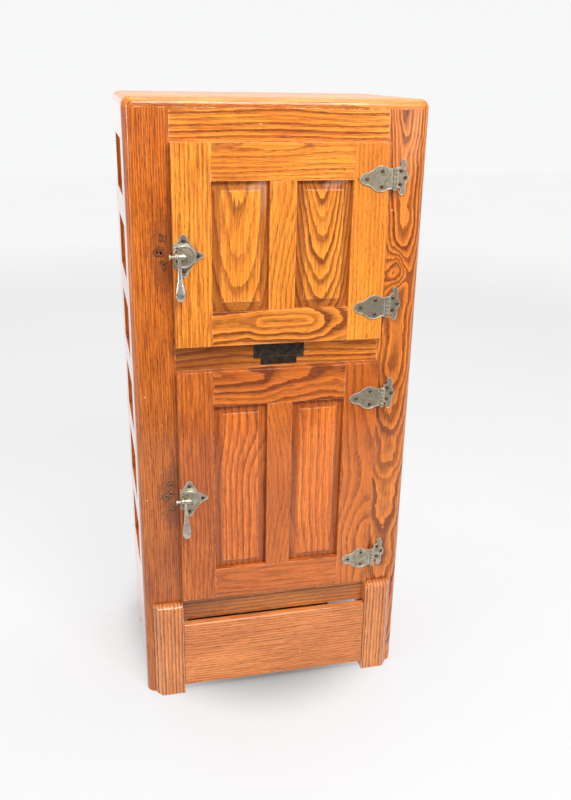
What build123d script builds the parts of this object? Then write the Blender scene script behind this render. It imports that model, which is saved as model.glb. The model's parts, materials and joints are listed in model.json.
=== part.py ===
from build123d import *
import os

# Two-door oak icebox. Millimetres, +Z up. The origin is on the floor, under the
# middle of the whole object's box. X runs to the right and Y runs to the back.

# ---- overall sizes ----
width = 600
depth = 380
height = 1322
top_thickness = 19
top_rounding = 17
corner_radius = 20

# ---- front frame ----
frame_thickness = 28
stile_width = 85
bottom_rail_bottom = 190
bottom_rail_height = 63.3
mid_rail_height = 55
upper_opening_height = 394.5
top_rail_height = 61.5
tenon_length = 24
tenon_thickness = 10
tenon_shoulder = 8

# ---- sides, back and base ----
side_thickness = 22
side_front_stile_end = 97
side_rear_stile_width = 97
side_panel_count = 6
side_bottom_rail_top = 286
side_rail_height = 58.6
side_panel_thickness = 6
side_panel_recess = 11
groove_depth = 9
tongue_length = 8
back_board_thickness = 12
back_board_count = 6
back_board_bottom = 60
back_inset = 2
floor_gap = 21.3
board_gap = 0.1
base_board_thickness = 12

# ---- insulated walls ----
wall_insulation_thickness = 36
front_insulation_thickness = 16
case_board_thickness = 10
liner_thickness = 1.5
jamb_thickness = 12

# ---- feet and the board between them ----
foot_proud = 20
foot_height = 238
foot_top_round = 13
foot_edge_inset = 19
foot_bevel_width = 12.5
foot_bevel_depth = 15
foot_clearance = 0.7
kick_proud = 17.5
kick_back_gap = 0.5
kick_end_gap = 0.5
kick_top_gap = 4.8
kick_pin_drop = 8.5
kick_pin_radius = 3
kick_pin_length = 9
kick_round = 5
kick_hole_play = 0.5

# ---- doors ----
door_thickness = 18
door_overlap = 0.6
door_face_proud = 21
door_stile_width = 75
door_muntin_width = 53.5
door_edge_round = 3.5
upper_door_rails = (70.5, 70)
lower_door_rails = (73.2, 76.6)
raised_panel_sink = 11
raised_panel_edge = 5
raised_panel_bevel = 19
raised_panel_step = 1.5
raised_field_sink = 3
gasket_width = 9
gasket_gap = 0.3
gasket_edge_inset = 1.5
plug_clearance = 6
plug_depth = 36
plug_board = 12

# ---- hinges ----
hinge_axis_inset = 75.5
hinge_axis_proud = 24.5
hinge_pin_radius = 2
running_clearance = 0.05
barrel_radius = 4.5
barrel_half_height = 21
knuckle_count = 5
knuckle_gap = 0.3
barrel_relief = 0.5
leaf_thickness = 2.4
leaf_tip_reach = 73.5
leaf_hole_inset = 19.1
leaf_hole_spread = 13
leaf_far_hole_inset = 29
door_leaf_far_hole = 58
door_leaf_near_hole = 27
door_leaf_hole_spread = 15
leaf_top = 20
horn_tip = 35.5
leaf_root = 11.5
leaf_point = 36
pin_cap_radius = 3.4
pin_cap_height = 1.8
pin_cap_round = 1.2
upper_hinge_insets = (68, 67.5)
lower_hinge_insets = (63.7, 77.6)

# ---- latches ----
upper_latch_height = 1032
lower_latch_height = 509
latch_plate_thickness = 2
latch_edge_inset = 0.2
latch_centre_inset = 19.7
latch_boss_radius = 23
latch_boss_height = 6
latch_lobe_reach = 42
latch_boss_round = 2.5
latch_lobe_radius = 7
latch_tip_radius = 5
latch_tip_reach = 40
latch_hole_spread = 29.5
latch_side_hole = 28.5
bar_radius = 3.2
bar_proud = 35
bar_overhang = 9.8
bar_length = 33
bar_flange_radius = 5.5
bar_flange_thickness = 2.5
hub_radius = 5
hub_width = 8.4
lever_centre_inset = 10.7
lever_length = 87
lever_proud = 46
bar_rise = 1
lug_width = 4
lug_radius = 5.6
lug_gap = 0.25

# ---- screws ----
screw_head_radius = 3.8
screw_head_height = 1.9
screw_shank_radius = 1.6
screw_length = 12
screw_slot_width = 0.9
screw_slot_depth = 0.8
screw_point = 2
screw_head_rim = 0.3
pilot_clearance = 0.05

# ---- empty holes left in the left stile by the lost strikes ----
strike_hole_radius = 1.7
strike_hole_depth = 14
upper_strike_holes = [(-18, 31), (-28.5, 4), (-22, 3), (-17, -21)]
lower_strike_holes = [(-17, 25), (-28, -2), (-18, 4.5), (-14.5, -27)]

# ---- fittings inside ----
bearer_size = 20
bearer_front_inset = 24
bearer_drain_gap = 12
divider_thickness = 15
divider_flue = 44
ice_pan_height = 22
ice_pan_margin = 4
rack_runner_height = 18
rack_slat_thickness = 12
rack_slat_width = 30
rack_slat_count = 7
rack_slat_cover = 0.72
drain_radius = 9
drain_wall = 1.5
drain_inset = 23.5
drain_offset = 165
drain_flange_radius = 16
drain_hole_clearance = 0.2
drain_end = 128
trap_radius = 16
trap_bottom = 118
trap_height = 30
shelf_depth = 210
shelf_front_inset = 8
shelf_end_gap = 2
shelf_bar = 6
shelf_wire_radius = 1.6
shelf_wire_count = 17
lower_shelf_height = 420
upper_shelf_height = 600
cleat_size = 14

# ---- nameplate ----
plate_width = 107
plate_height = 32
plate_tab_width = 77
plate_tab_height = 14
plate_thickness = 1.6
plate_gap_below = 4.5
plate_pin_radius = 2
plate_pin_inset = 5
plate_shank_radius = 1
plate_shank_length = 8
plate_rim = 3
plate_sink = 0.5

# ---- drip pan ----
pan_width = 370
pan_depth = 280
pan_height = 60
pan_wall = 2
pan_set_back = 45
pan_floor_gap = 0.4

# ---- worked out from the sizes above ----
half_width = width / 2
front = (lever_proud - depth) / 2
back = front + depth
top_under = height - top_thickness
opening_half = half_width - stile_width
lower_opening_bottom = bottom_rail_bottom + bottom_rail_height
upper_opening_top = top_under - top_rail_height
upper_opening_bottom = upper_opening_top - upper_opening_height
lower_opening_top = upper_opening_bottom - mid_rail_height
side_inner = half_width - side_thickness
frame_back = front + frame_thickness
side_front_end = front + side_front_stile_end
side_rear_start = back - side_rear_stile_width
back_board_outer = back - back_inset
back_board_inner = back_board_outer - back_board_thickness
jamb_inner_half = opening_half - jamb_thickness
case_start = frame_back + front_insulation_thickness
liner_start = case_start + case_board_thickness
chamber_front = liner_start + liner_thickness
chamber_half = side_inner - wall_insulation_thickness - case_board_thickness - liner_thickness
chamber_back = back_board_inner - wall_insulation_thickness - case_board_thickness - liner_thickness
chamber_top = top_under - wall_insulation_thickness - case_board_thickness - liner_thickness
chamber_floor = lower_opening_bottom
base_top = chamber_floor - liner_thickness - case_board_thickness - wall_insulation_thickness
door_face = front - door_face_proud
door_back = door_face + door_thickness
door_half = opening_half + door_overlap
hinge_x = half_width - hinge_axis_inset
hinge_y = front - hinge_axis_proud
drain_y = chamber_back - drain_inset
kick_top = bottom_rail_bottom - kick_top_gap
kick_half = opening_half - kick_end_gap
kick_axis_z = kick_top - kick_pin_drop
kick_axis_y = front - (kick_proud + kick_back_gap) / 2
foot_inner = opening_half + foot_clearance
foot_outer = half_width - foot_edge_inset
latch_x = -door_half + latch_edge_inset + latch_centre_inset
bar_x = -door_half - bar_overhang
lever_x = -door_half + lever_centre_inset
bar_y = front - bar_proud

os.makedirs("parts", exist_ok=True)


def save(piece, name):
    """Name a finished piece and write it as one STEP file."""
    piece.part.label = name
    export_step(piece.part, f"parts/{name}.step")


def block(x_span, y_span, z_span, mode=Mode.ADD):
    """A square-edged board between three pairs of limits, in the open part."""
    spans = (x_span, y_span, z_span)
    with Locations(tuple((low + high) / 2 for low, high in spans)):
        Box(*(high - low for low, high in spans), mode=mode)


def mirrored(span):
    """The same limits on the other side of the middle plane."""
    return (-span[1], -span[0])


def rod_x(x_span, y, z, radius, mode=Mode.ADD):
    """A round rod along X."""
    with Locations(((x_span[0] + x_span[1]) / 2, y, z)):
        Cylinder(radius, x_span[1] - x_span[0], rotation=(0, 90, 0), mode=mode)


def rod_y(x, y_span, z, radius, mode=Mode.ADD):
    """A round rod along Y."""
    with Locations((x, (y_span[0] + y_span[1]) / 2, z)):
        Cylinder(radius, y_span[1] - y_span[0], rotation=(90, 0, 0), mode=mode)


def rod_z(x, y, z_span, radius, mode=Mode.ADD):
    """A round rod along Z."""
    with Locations((x, y, (z_span[0] + z_span[1]) / 2)):
        Cylinder(radius, z_span[1] - z_span[0], mode=mode)


def pilots(points, surface):
    """Pilot holes for screws driven towards +Y from a face at y = surface."""
    for x, z in points:
        radius = screw_shank_radius + pilot_clearance
        rod_y(x, (surface - 1, surface + screw_length + 1), z, radius, Mode.SUBTRACT)


def screws(points, surface):
    """Round-headed slotted screws, heads seated on a face at y = surface."""
    for x, z in points:
        with BuildSketch(Plane.XY) as half:
            with BuildLine():
                dome_start = (screw_head_radius, -screw_head_rim)
                Line((0, screw_length), (screw_shank_radius, screw_length - screw_point))
                Line((screw_shank_radius, screw_length - screw_point), (screw_shank_radius, 0))
                Line((screw_shank_radius, 0), (screw_head_radius, 0))
                Line((screw_head_radius, 0), dome_start)
                ThreePointArc(
                    dome_start,
                    (screw_head_radius * 0.72, -screw_head_height * 0.78),
                    (0, -screw_head_height),
                )
                Line((0, -screw_head_height), (0, screw_length))
            make_face()
        turned = revolve(half.sketch, axis=Axis.Y, mode=Mode.PRIVATE)
        add(turned.moved(Location((x, surface, z))))
        block(
            (x - screw_slot_width / 2, x + screw_slot_width / 2),
            (surface - screw_head_height - 1, surface - screw_head_height + screw_slot_depth),
            (z - screw_head_radius, z + screw_head_radius),
            Mode.SUBTRACT,
        )


# ---- where screws and hinges sit ----
class Door:
    """The limits of one door and of the hardware on it."""

    def __init__(self, name, bottom, top, rails, hinge_insets, latch_height):
        self.name = name
        self.opening = (bottom, top)
        self.bottom = bottom
        self.top = top + door_overlap
        self.bottom_rail_top = self.bottom + rails[0]
        self.top_rail_bottom = self.top - rails[1]
        self.hinges = (bottom + hinge_insets[0], top - hinge_insets[1])
        self.latch_height = latch_height


doors = [
    Door("upper", upper_opening_bottom, upper_opening_top,
         upper_door_rails, upper_hinge_insets, upper_latch_height),
    Door("lower", lower_opening_bottom, lower_opening_top,
         lower_door_rails, lower_hinge_insets, lower_latch_height),
]
hinge_heights = [z for door in doors for z in door.hinges]
frame_screw_spots = [
    (hinge_x + leaf_hole_inset, leaf_hole_spread),
    (hinge_x + leaf_hole_inset, -leaf_hole_spread),
    (hinge_x + leaf_far_hole_inset, 0),
]
door_screw_spots = [
    (hinge_x - door_leaf_far_hole, 0),
    (hinge_x - door_leaf_near_hole, door_leaf_hole_spread),
    (hinge_x - door_leaf_near_hole, -door_leaf_hole_spread),
]
latch_screw_spots = [
    (latch_x, latch_hole_spread),
    (latch_x, -latch_hole_spread),
    (latch_x + latch_side_hole, 0),
]


def at_heights(spots, heights):
    """The same pattern of points repeated at several heights."""
    return [(x, z + level) for level in heights for x, z in spots]


frame_screw_points = at_heights(frame_screw_spots, hinge_heights)
leaf_surface = front - leaf_thickness

# ---- outer case ----
with BuildPart() as top_board:
    with BuildSketch(Plane.XY.offset(top_under)):
        with Locations((0, front + depth / 2)):
            Rectangle(width, depth)
    extrude(amount=top_thickness)
    fillet(top_board.edges().filter_by(Axis.Z).group_by(Axis.Y)[0], corner_radius)
    upper_edges = top_board.faces().sort_by(Axis.Z)[-1].edges()
    fillet(upper_edges.sort_by(Axis.Y)[:-1], top_rounding)
save(top_board, "top_board")

for side, name in ((-1, "front_stile_left"), (1, "front_stile_right")):
    with BuildPart() as stile:
        edge_span = (opening_half, half_width)
        block(edge_span if side > 0 else mirrored(edge_span), (front, frame_back), (0, top_under))
        outer_edge = stile.edges().filter_by(Axis.Z).group_by(Axis.Y)[0].sort_by(Axis.X)
        fillet(outer_edge[-1 if side > 0 else 0], corner_radius)
        tenon_y = front + (frame_thickness - tenon_thickness) / 2
        for low, high in (
            (bottom_rail_bottom, lower_opening_bottom),
            (lower_opening_top, upper_opening_bottom),
            (upper_opening_top, top_under),
        ):
            mortise = (opening_half, opening_half + tenon_length + 1)
            block(
                mortise if side > 0 else mirrored(mortise),
                (tenon_y, tenon_y + tenon_thickness),
                (low + tenon_shoulder, high - tenon_shoulder),
                Mode.SUBTRACT,
            )
        if side > 0:
            pilots(frame_screw_points, front)
        else:
            for door, holes in zip(doors, (upper_strike_holes, lower_strike_holes)):
                for x, z in holes:
                    hole = (x - opening_half, z + door.latch_height)
                    deep = (front - 1, front + strike_hole_depth)
                    rod_y(hole[0], deep, hole[1], strike_hole_radius, Mode.SUBTRACT)
    save(stile, name)

with BuildPart() as front_rails:
    for low, high in (
        (bottom_rail_bottom, lower_opening_bottom),
        (lower_opening_top, upper_opening_bottom),
        (upper_opening_top, top_under),
    ):
        block((-opening_half, opening_half), (front, frame_back), (low, high))
        block(
            (-opening_half - tenon_length, opening_half + tenon_length),
            (tenon_y, tenon_y + tenon_thickness),
            (low + tenon_shoulder, high - tenon_shoulder),
        )
    plate_left = -plate_width / 2
    plate_top = upper_opening_bottom - plate_gap_below
    plate_pin_z = plate_top - plate_height * 0.6
    plate_pin_hole = plate_shank_radius + pilot_clearance
    for x in (plate_left + plate_pin_inset, -plate_left - plate_pin_inset):
        deep = (front - 1, front + plate_shank_length + 1)
        rod_y(x, deep, plate_pin_z, plate_pin_hole, Mode.SUBTRACT)
save(front_rails, "front_rails")

# side frames: two stiles, seven rails and six flat panels in grooves
panel_height = (
    upper_opening_top - side_bottom_rail_top - (side_panel_count - 1) * side_rail_height
) / side_panel_count
panel_pitch = panel_height + side_rail_height
panel_out = half_width - side_panel_recess
groove_x = (panel_out - side_panel_thickness, panel_out)
rail_spans = [(floor_gap, side_bottom_rail_top)]
for row in range(side_panel_count - 1):
    rail_low = side_bottom_rail_top + panel_height + row * panel_pitch
    rail_spans.append((rail_low, rail_low + side_rail_height))
rail_spans.append((upper_opening_top, top_under))

for side, word in ((-1, "left"), (1, "right")):

    def on_side(span):
        return span if side > 0 else mirrored(span)

    wall = on_side((side_inner, half_width))
    groove = on_side(groove_x)
    with BuildPart() as side_stiles:
        block(wall, (frame_back, side_front_end), (0, top_under))
        block(wall, (side_rear_start, back), (0, top_under))
        for start in (side_front_end - groove_depth, side_rear_start):
            block(groove, (start, start + groove_depth), (floor_gap, top_under), Mode.SUBTRACT)
    save(side_stiles, f"{word}_side_stiles")

    with BuildPart() as side_rails:
        for low, high in rail_spans:
            block(wall, (side_front_end, side_rear_start), (low, high))
            tongues = (side_front_end - tongue_length, side_rear_start + tongue_length)
            block(groove, tongues, (low, high))
        for row in range(side_panel_count):
            panel_low = side_bottom_rail_top + row * panel_pitch
            block(
                groove,
                (side_front_end - groove_depth, side_rear_start + groove_depth),
                (panel_low - groove_depth, panel_low + panel_height + groove_depth),
                Mode.SUBTRACT,
            )
    save(side_rails, f"{word}_side_rails")

    with BuildPart() as side_panels:
        for row in range(side_panel_count):
            panel_low = side_bottom_rail_top + row * panel_pitch
            block(
                groove,
                (side_front_end - tongue_length, side_rear_start + tongue_length),
                (panel_low - tongue_length, panel_low + panel_height + tongue_length),
            )
    save(side_panels, f"{word}_side_panels")

with BuildPart() as back_boards:
    board_width = 2 * side_inner / back_board_count
    for index in range(back_board_count):
        left = -side_inner + index * board_width
        board_x = (left, left + board_width - board_gap)
        block(board_x, (back_board_inner, back_board_outer), (back_board_bottom, top_under))
save(back_boards, "back_boards")

drain_hole = drain_radius + drain_hole_clearance

with BuildPart() as base_board:
    base_y = (frame_back, back_board_inner)
    block((-side_inner, side_inner), base_y, (base_top - base_board_thickness, base_top))
    rod_z(drain_offset, drain_y, (0, base_top + 1), drain_hole, Mode.SUBTRACT)
save(base_board, "base_board")

for side, name in ((-1, "foot_block_left"), (1, "foot_block_right")):
    with BuildPart() as foot:
        with BuildSketch(Plane.XY):
            with BuildLine():
                Polyline(
                    (side * foot_inner, front),
                    (side * foot_inner, front - foot_proud),
                    (side * (foot_outer - foot_bevel_width), front - foot_proud),
                    (side * foot_outer, front - foot_proud + foot_bevel_depth),
                    (side * foot_outer, front),
                    close=True,
                )
            make_face()
        extrude(amount=foot_height)
        top_front = foot.faces().sort_by(Axis.Z)[-1].edges().sort_by(Axis.Y)[0]
        fillet(top_front, foot_top_round)
        pin_span = (foot_inner - 1, foot_inner + kick_pin_length)
        rod_x(
            pin_span if side > 0 else mirrored(pin_span),
            kick_axis_y, kick_axis_z, kick_pin_radius, Mode.SUBTRACT,
        )
    save(foot, name)

# ---- insulated case ----
for door in doors:
    with BuildPart() as jamb:
        low, high = door.opening
        deep = (front, chamber_front)
        block((-opening_half, -jamb_inner_half), deep, (low, high))
        block((jamb_inner_half, opening_half), deep, (low, high))
        between = (-jamb_inner_half + board_gap, jamb_inner_half - board_gap)
        block(between, deep, (low, low + jamb_thickness))
        block(between, deep, (high - jamb_thickness, high))
    save(jamb, f"{door.name}_jamb")


def case_layer(outset, thickness, start, end):
    """One shell of the wall: five slabs and the strips around the two door openings.

    outset is how far the shell's inner face stands outside the chamber, and the front
    strips fill y from start to end.
    """
    inner_x = chamber_half + outset
    outer_x = inner_x + thickness
    inner_back = chamber_back + outset
    outer_back = inner_back + thickness
    floor_top = chamber_floor - outset
    ceiling = chamber_top + outset
    outer_z = (floor_top - thickness, ceiling + thickness)
    with BuildPart() as layer:
        block((-outer_x, outer_x), (start, outer_back), (outer_z[0], floor_top))
        block((-outer_x, outer_x), (start, outer_back), (ceiling, outer_z[1]))
        upright = (floor_top + board_gap, ceiling - board_gap)
        block((-outer_x, -inner_x), (start, outer_back), upright)
        block((inner_x, outer_x), (start, outer_back), upright)
        block((-inner_x + board_gap, inner_x - board_gap), (inner_back, outer_back), upright)
        strip = (opening_half + board_gap, inner_x - board_gap)
        block(strip, (start, end), upright)
        block(mirrored(strip), (start, end), upright)
        rail_strips = ((lower_opening_top, upper_opening_bottom), (upper_opening_top, upright[1]))
        for low, high in rail_strips:
            block((-opening_half, opening_half), (start, end), (low, high))
        rod_z(drain_offset, drain_y, (outer_z[0] - 1, floor_top + 1), drain_hole, Mode.SUBTRACT)
    return layer


liner = case_layer(0, liner_thickness, liner_start, chamber_front)
save(liner, "zinc_liner")
case_boards = case_layer(liner_thickness, case_board_thickness, case_start, liner_start)
save(case_boards, "inner_case_boards")
insulation = case_layer(
    liner_thickness + case_board_thickness, wall_insulation_thickness, frame_back, case_start
)
save(insulation, "wall_insulation")

# ---- fittings in the chambers ----
bearer_low = lower_opening_top
divider_low = bearer_low + bearer_size
divider_high = divider_low + divider_thickness
divider_half = chamber_half - divider_flue
divider_y = (chamber_front + board_gap, chamber_back - board_gap)

with BuildPart() as chamber_divider:
    block((-divider_half, divider_half), divider_y, (divider_low, divider_high))
    rear_bearer = drain_y - drain_hole - bearer_size - bearer_drain_gap
    for y in (chamber_front + bearer_front_inset, rear_bearer):
        bearer_z = (bearer_low, divider_low - board_gap)
        block((-chamber_half, chamber_half), (y, y + bearer_size), bearer_z)
    rod_z(drain_offset, drain_y, (divider_low - 1, divider_high + 1), drain_hole, Mode.SUBTRACT)
save(chamber_divider, "chamber_divider")

pan_half = divider_half
rack_low = divider_high + liner_thickness
rack_high = rack_low + rack_runner_height + rack_slat_thickness
with BuildPart() as ice_pan:
    block((-pan_half, pan_half), divider_y, (divider_high, divider_high + ice_pan_height))
    block(
        (-pan_half + liner_thickness, pan_half - liner_thickness),
        (divider_y[0] + liner_thickness, divider_y[1] - liner_thickness),
        (divider_high + liner_thickness, divider_high + ice_pan_height + 1),
        Mode.SUBTRACT,
    )
    rod_z(drain_offset, drain_y, (divider_high - 1, divider_high + 3), drain_hole, Mode.SUBTRACT)
save(ice_pan, "ice_pan")

with BuildPart() as ice_rack:
    rack_half = pan_half - liner_thickness - ice_pan_margin
    rack_front = divider_y[0] + liner_thickness + ice_pan_margin
    rack_back = drain_y - drain_flange_radius - ice_pan_margin
    slat_pitch = (rack_back - rack_front - rack_slat_width) / (rack_slat_count - 1)
    for x in (-rack_half, -bearer_size / 2, rack_half - bearer_size):
        runner_z = (rack_low, rack_low + rack_runner_height - board_gap)
        block((x, x + bearer_size), (rack_front, rack_back), runner_z)
    for index in range(rack_slat_count):
        y = rack_front + index * slat_pitch
        slat = min(rack_slat_width, slat_pitch * rack_slat_cover)
        block((-rack_half, rack_half), (y, y + slat), (rack_low + rack_runner_height, rack_high))
save(ice_rack, "ice_rack")

with BuildPart() as drain_pipe:
    rod_z(drain_offset, drain_y, (drain_end, rack_low), drain_radius)
    rod_z(drain_offset, drain_y, (rack_low, rack_low + drain_wall), drain_flange_radius)
    bore = drain_radius - drain_wall
    rod_z(drain_offset, drain_y, (drain_end - 1, rack_low + 3), bore, Mode.SUBTRACT)
save(drain_pipe, "drain_pipe")

with BuildPart() as drain_trap:
    rod_z(drain_offset, drain_y, (trap_bottom, trap_bottom + trap_height), trap_radius)
    cup = (trap_bottom + drain_wall, trap_bottom + trap_height + 1)
    rod_z(drain_offset, drain_y, cup, trap_radius - drain_wall, Mode.SUBTRACT)
    web_z = (trap_bottom + trap_height / 2, trap_bottom + trap_height)
    for sign in (-1, 1):
        web = (drain_radius + board_gap, trap_radius - drain_wall / 2)
        web = web if sign > 0 else mirrored(web)
        block((drain_offset + web[0], drain_offset + web[1]), (drain_y - 2, drain_y + 2), web_z)
save(drain_trap, "drain_trap")

shelf_front = chamber_front + shelf_front_inset
for name, level in (("lower_shelf", lower_shelf_height), ("upper_shelf", upper_shelf_height)):
    with BuildPart() as shelf:
        shelf_half = chamber_half - shelf_end_gap
        shelf_y = (shelf_front, shelf_front + shelf_depth)
        shelf_z = (level, level + shelf_bar)
        for y in (shelf_y[0], shelf_y[1] - shelf_bar):
            block((-shelf_half, shelf_half), (y, y + shelf_bar), shelf_z)
        for x in (-shelf_half, shelf_half - shelf_bar):
            block((x, x + shelf_bar), shelf_y, shelf_z)
        wire_pitch = 2 * (shelf_half - shelf_bar) / (shelf_wire_count + 1)
        for index in range(shelf_wire_count):
            x = -shelf_half + shelf_bar + (index + 1) * wire_pitch
            rod_y(x, (shelf_y[0] + 1, shelf_y[1] - 1), level + shelf_bar / 2, shelf_wire_radius)
    save(shelf, name)

with BuildPart() as shelf_cleats:
    for level in (lower_shelf_height, upper_shelf_height):
        cleat = (chamber_half - cleat_size, chamber_half)
        for span in (cleat, mirrored(cleat)):
            block(span, (shelf_front, shelf_front + shelf_depth), (level - cleat_size, level))
save(shelf_cleats, "shelf_cleats")

# ---- nameplate on the middle rail ----
with BuildPart() as nameplate:
    with BuildSketch(Plane.XZ.offset(-front)):
        with Locations((0, plate_top - plate_height / 2)):
            Rectangle(plate_width, plate_height)
        with Locations((0, plate_top - plate_height - plate_tab_height / 2)):
            Rectangle(plate_tab_width, plate_tab_height)
    extrude(amount=plate_thickness)
    sunk_face = front - plate_thickness + plate_sink
    block(
        (plate_left + plate_rim, -plate_left - plate_rim),
        (front - plate_thickness - 1, sunk_face),
        (plate_top - plate_height + plate_rim, plate_top - plate_rim),
        Mode.SUBTRACT,
    )
    for x in (plate_left + plate_pin_inset, -plate_left - plate_pin_inset):
        rod_y(x, (front - 3, front + 1), plate_pin_z, plate_pin_hole, Mode.SUBTRACT)
save(nameplate, "nameplate")

with BuildPart() as nameplate_pins:
    for x in (plate_left + plate_pin_inset, -plate_left - plate_pin_inset):
        rod_y(x, (sunk_face, front + plate_shank_length), plate_pin_z, plate_shank_radius)
        rod_y(x, (sunk_face - 1, sunk_face), plate_pin_z, plate_pin_radius)
save(nameplate_pins, "nameplate_pins")

# ---- hinges: a bent leaf on the frame, a shaped leaf on the door, a pin between ----
knuckle_height = 2 * barrel_half_height / knuckle_count


def knuckle_spans(level, first):
    """Every second knuckle of a barrel, starting at index first."""
    start = level - barrel_half_height + knuckle_gap / 2
    length = knuckle_height - knuckle_gap
    lows = [start + index * knuckle_height for index in range(first, knuckle_count, 2)]
    return [(low, low + length) for low in lows]


def barrel(level, first):
    """The knuckles that belong to one leaf, bored for the pin, with room for the others."""
    for span in knuckle_spans(level, first):
        rod_z(hinge_x, hinge_y, span, barrel_radius)
    for low, high in knuckle_spans(level, 1 - first):
        room = (low - knuckle_gap, high + knuckle_gap)
        rod_z(hinge_x, hinge_y, room, barrel_radius + barrel_relief, Mode.SUBTRACT)
    whole = (level - barrel_half_height - 5, level + barrel_half_height + 5)
    rod_z(hinge_x, hinge_y, whole, hinge_pin_radius + running_clearance, Mode.SUBTRACT)


def leaf_holes(spots, level, surface):
    """Clearance holes for a leaf's screws."""
    for x, z in spots:
        radius = screw_shank_radius + pilot_clearance
        rod_y(x, (surface - 1, surface + leaf_thickness + 1), z + level, radius, Mode.SUBTRACT)


frame_foot = hinge_x + leaf_root
with BuildPart() as hinge_frame_leaves:
    for level in hinge_heights:
        with BuildSketch(Plane.XY.offset(level - 45)) as bend:
            with BuildLine():
                Polyline(
                    (hinge_x + 1.6, hinge_y),
                    (hinge_x + barrel_radius - 0.3, hinge_y),
                    (frame_foot + 1, front - leaf_thickness),
                    (hinge_x + 40, front - leaf_thickness),
                    (hinge_x + 40, front),
                    (frame_foot - 1, front),
                    close=True,
                )
            make_face()
        strip = extrude(bend.sketch, amount=90, mode=Mode.PRIVATE)
        with BuildSketch(Plane.XZ.offset(-front - 1)) as outline:
            with BuildLine():
                waist = (hinge_x + 30.6, 13)
                Line((hinge_x, 0), (hinge_x, leaf_top))
                Line((hinge_x, leaf_top), (hinge_x + 15, leaf_top))
                ThreePointArc((hinge_x + 15, leaf_top), (hinge_x + 18.6, 23), (hinge_x + 19, 27.5))
                ThreePointArc((hinge_x + 19, 27.5), (hinge_x + 17.4, 31.5), (hinge_x + 19.5, 34))
                ThreePointArc((hinge_x + 19.5, 34), (hinge_x + 24.5, horn_tip), (hinge_x + 29, 31.5))
                Spline(
                    (hinge_x + 29, 31.5), (hinge_x + 31, 22), waist, (hinge_x + leaf_point, 0),
                    tangents=((0.5, -1), (0, -1)),
                )
                Line((hinge_x + leaf_point, 0), (hinge_x, 0))
            make_face()
            mirror(about=Plane.XZ)
        shape = extrude(outline.sketch, amount=40, mode=Mode.PRIVATE)
        shape = shape.moved(Location((0, 0, level)))
        add(strip & shape)
        barrel(level, 0)
        leaf_holes(frame_screw_spots, level, leaf_surface)
save(hinge_frame_leaves, "hinge_frame_leaves")

with BuildPart() as hinge_pins:
    for level in hinge_heights:
        pin_z = (level - barrel_half_height, level + barrel_half_height)
        rod_z(hinge_x, hinge_y, pin_z, hinge_pin_radius)
        rod_z(hinge_x, hinge_y, (pin_z[1], pin_z[1] + pin_cap_height), pin_cap_radius)
        rod_z(hinge_x, hinge_y, (pin_z[0] - pin_cap_height, pin_z[0]), pin_cap_radius)
    cap_reach = barrel_half_height + pin_cap_height
    cap_ends = [level + sign * cap_reach for level in hinge_heights for sign in (-1, 1)]
    circles = hinge_pins.edges().filter_by(GeomType.CIRCLE)
    outer_caps = [
        edge for edge in circles
        if abs(edge.radius - pin_cap_radius) < 0.01
        and min(abs(edge.center().Z - end) for end in cap_ends) < 0.01
    ]
    fillet(outer_caps, pin_cap_round)
save(hinge_pins, "hinge_pins")

with BuildPart() as hinge_frame_screws:
    screws(frame_screw_points, leaf_surface)
save(hinge_frame_screws, "hinge_frame_screws")

with BuildPart() as baseboard_pins:
    for sign in (-1, 1):
        pin = (kick_half - kick_pin_length, foot_inner + kick_pin_length)
        rod_x(pin if sign > 0 else mirrored(pin), kick_axis_y, kick_axis_z, kick_pin_radius)
save(baseboard_pins, "baseboard_pins")

# ---- doors ----
door_frame_y = (door_face, door_back)
stile_inner = door_half - door_stile_width
muntin_half = door_muntin_width / 2
panel_back = door_face + raised_panel_sink + raised_panel_edge
panel_front = door_face + raised_panel_sink
panel_groove_y = (panel_front, panel_back)
plug_half = jamb_inner_half - plug_clearance
plug_back = front + plug_depth
plate_surface = door_face - latch_plate_thickness
door_leaf_surface = door_face - leaf_thickness

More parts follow.
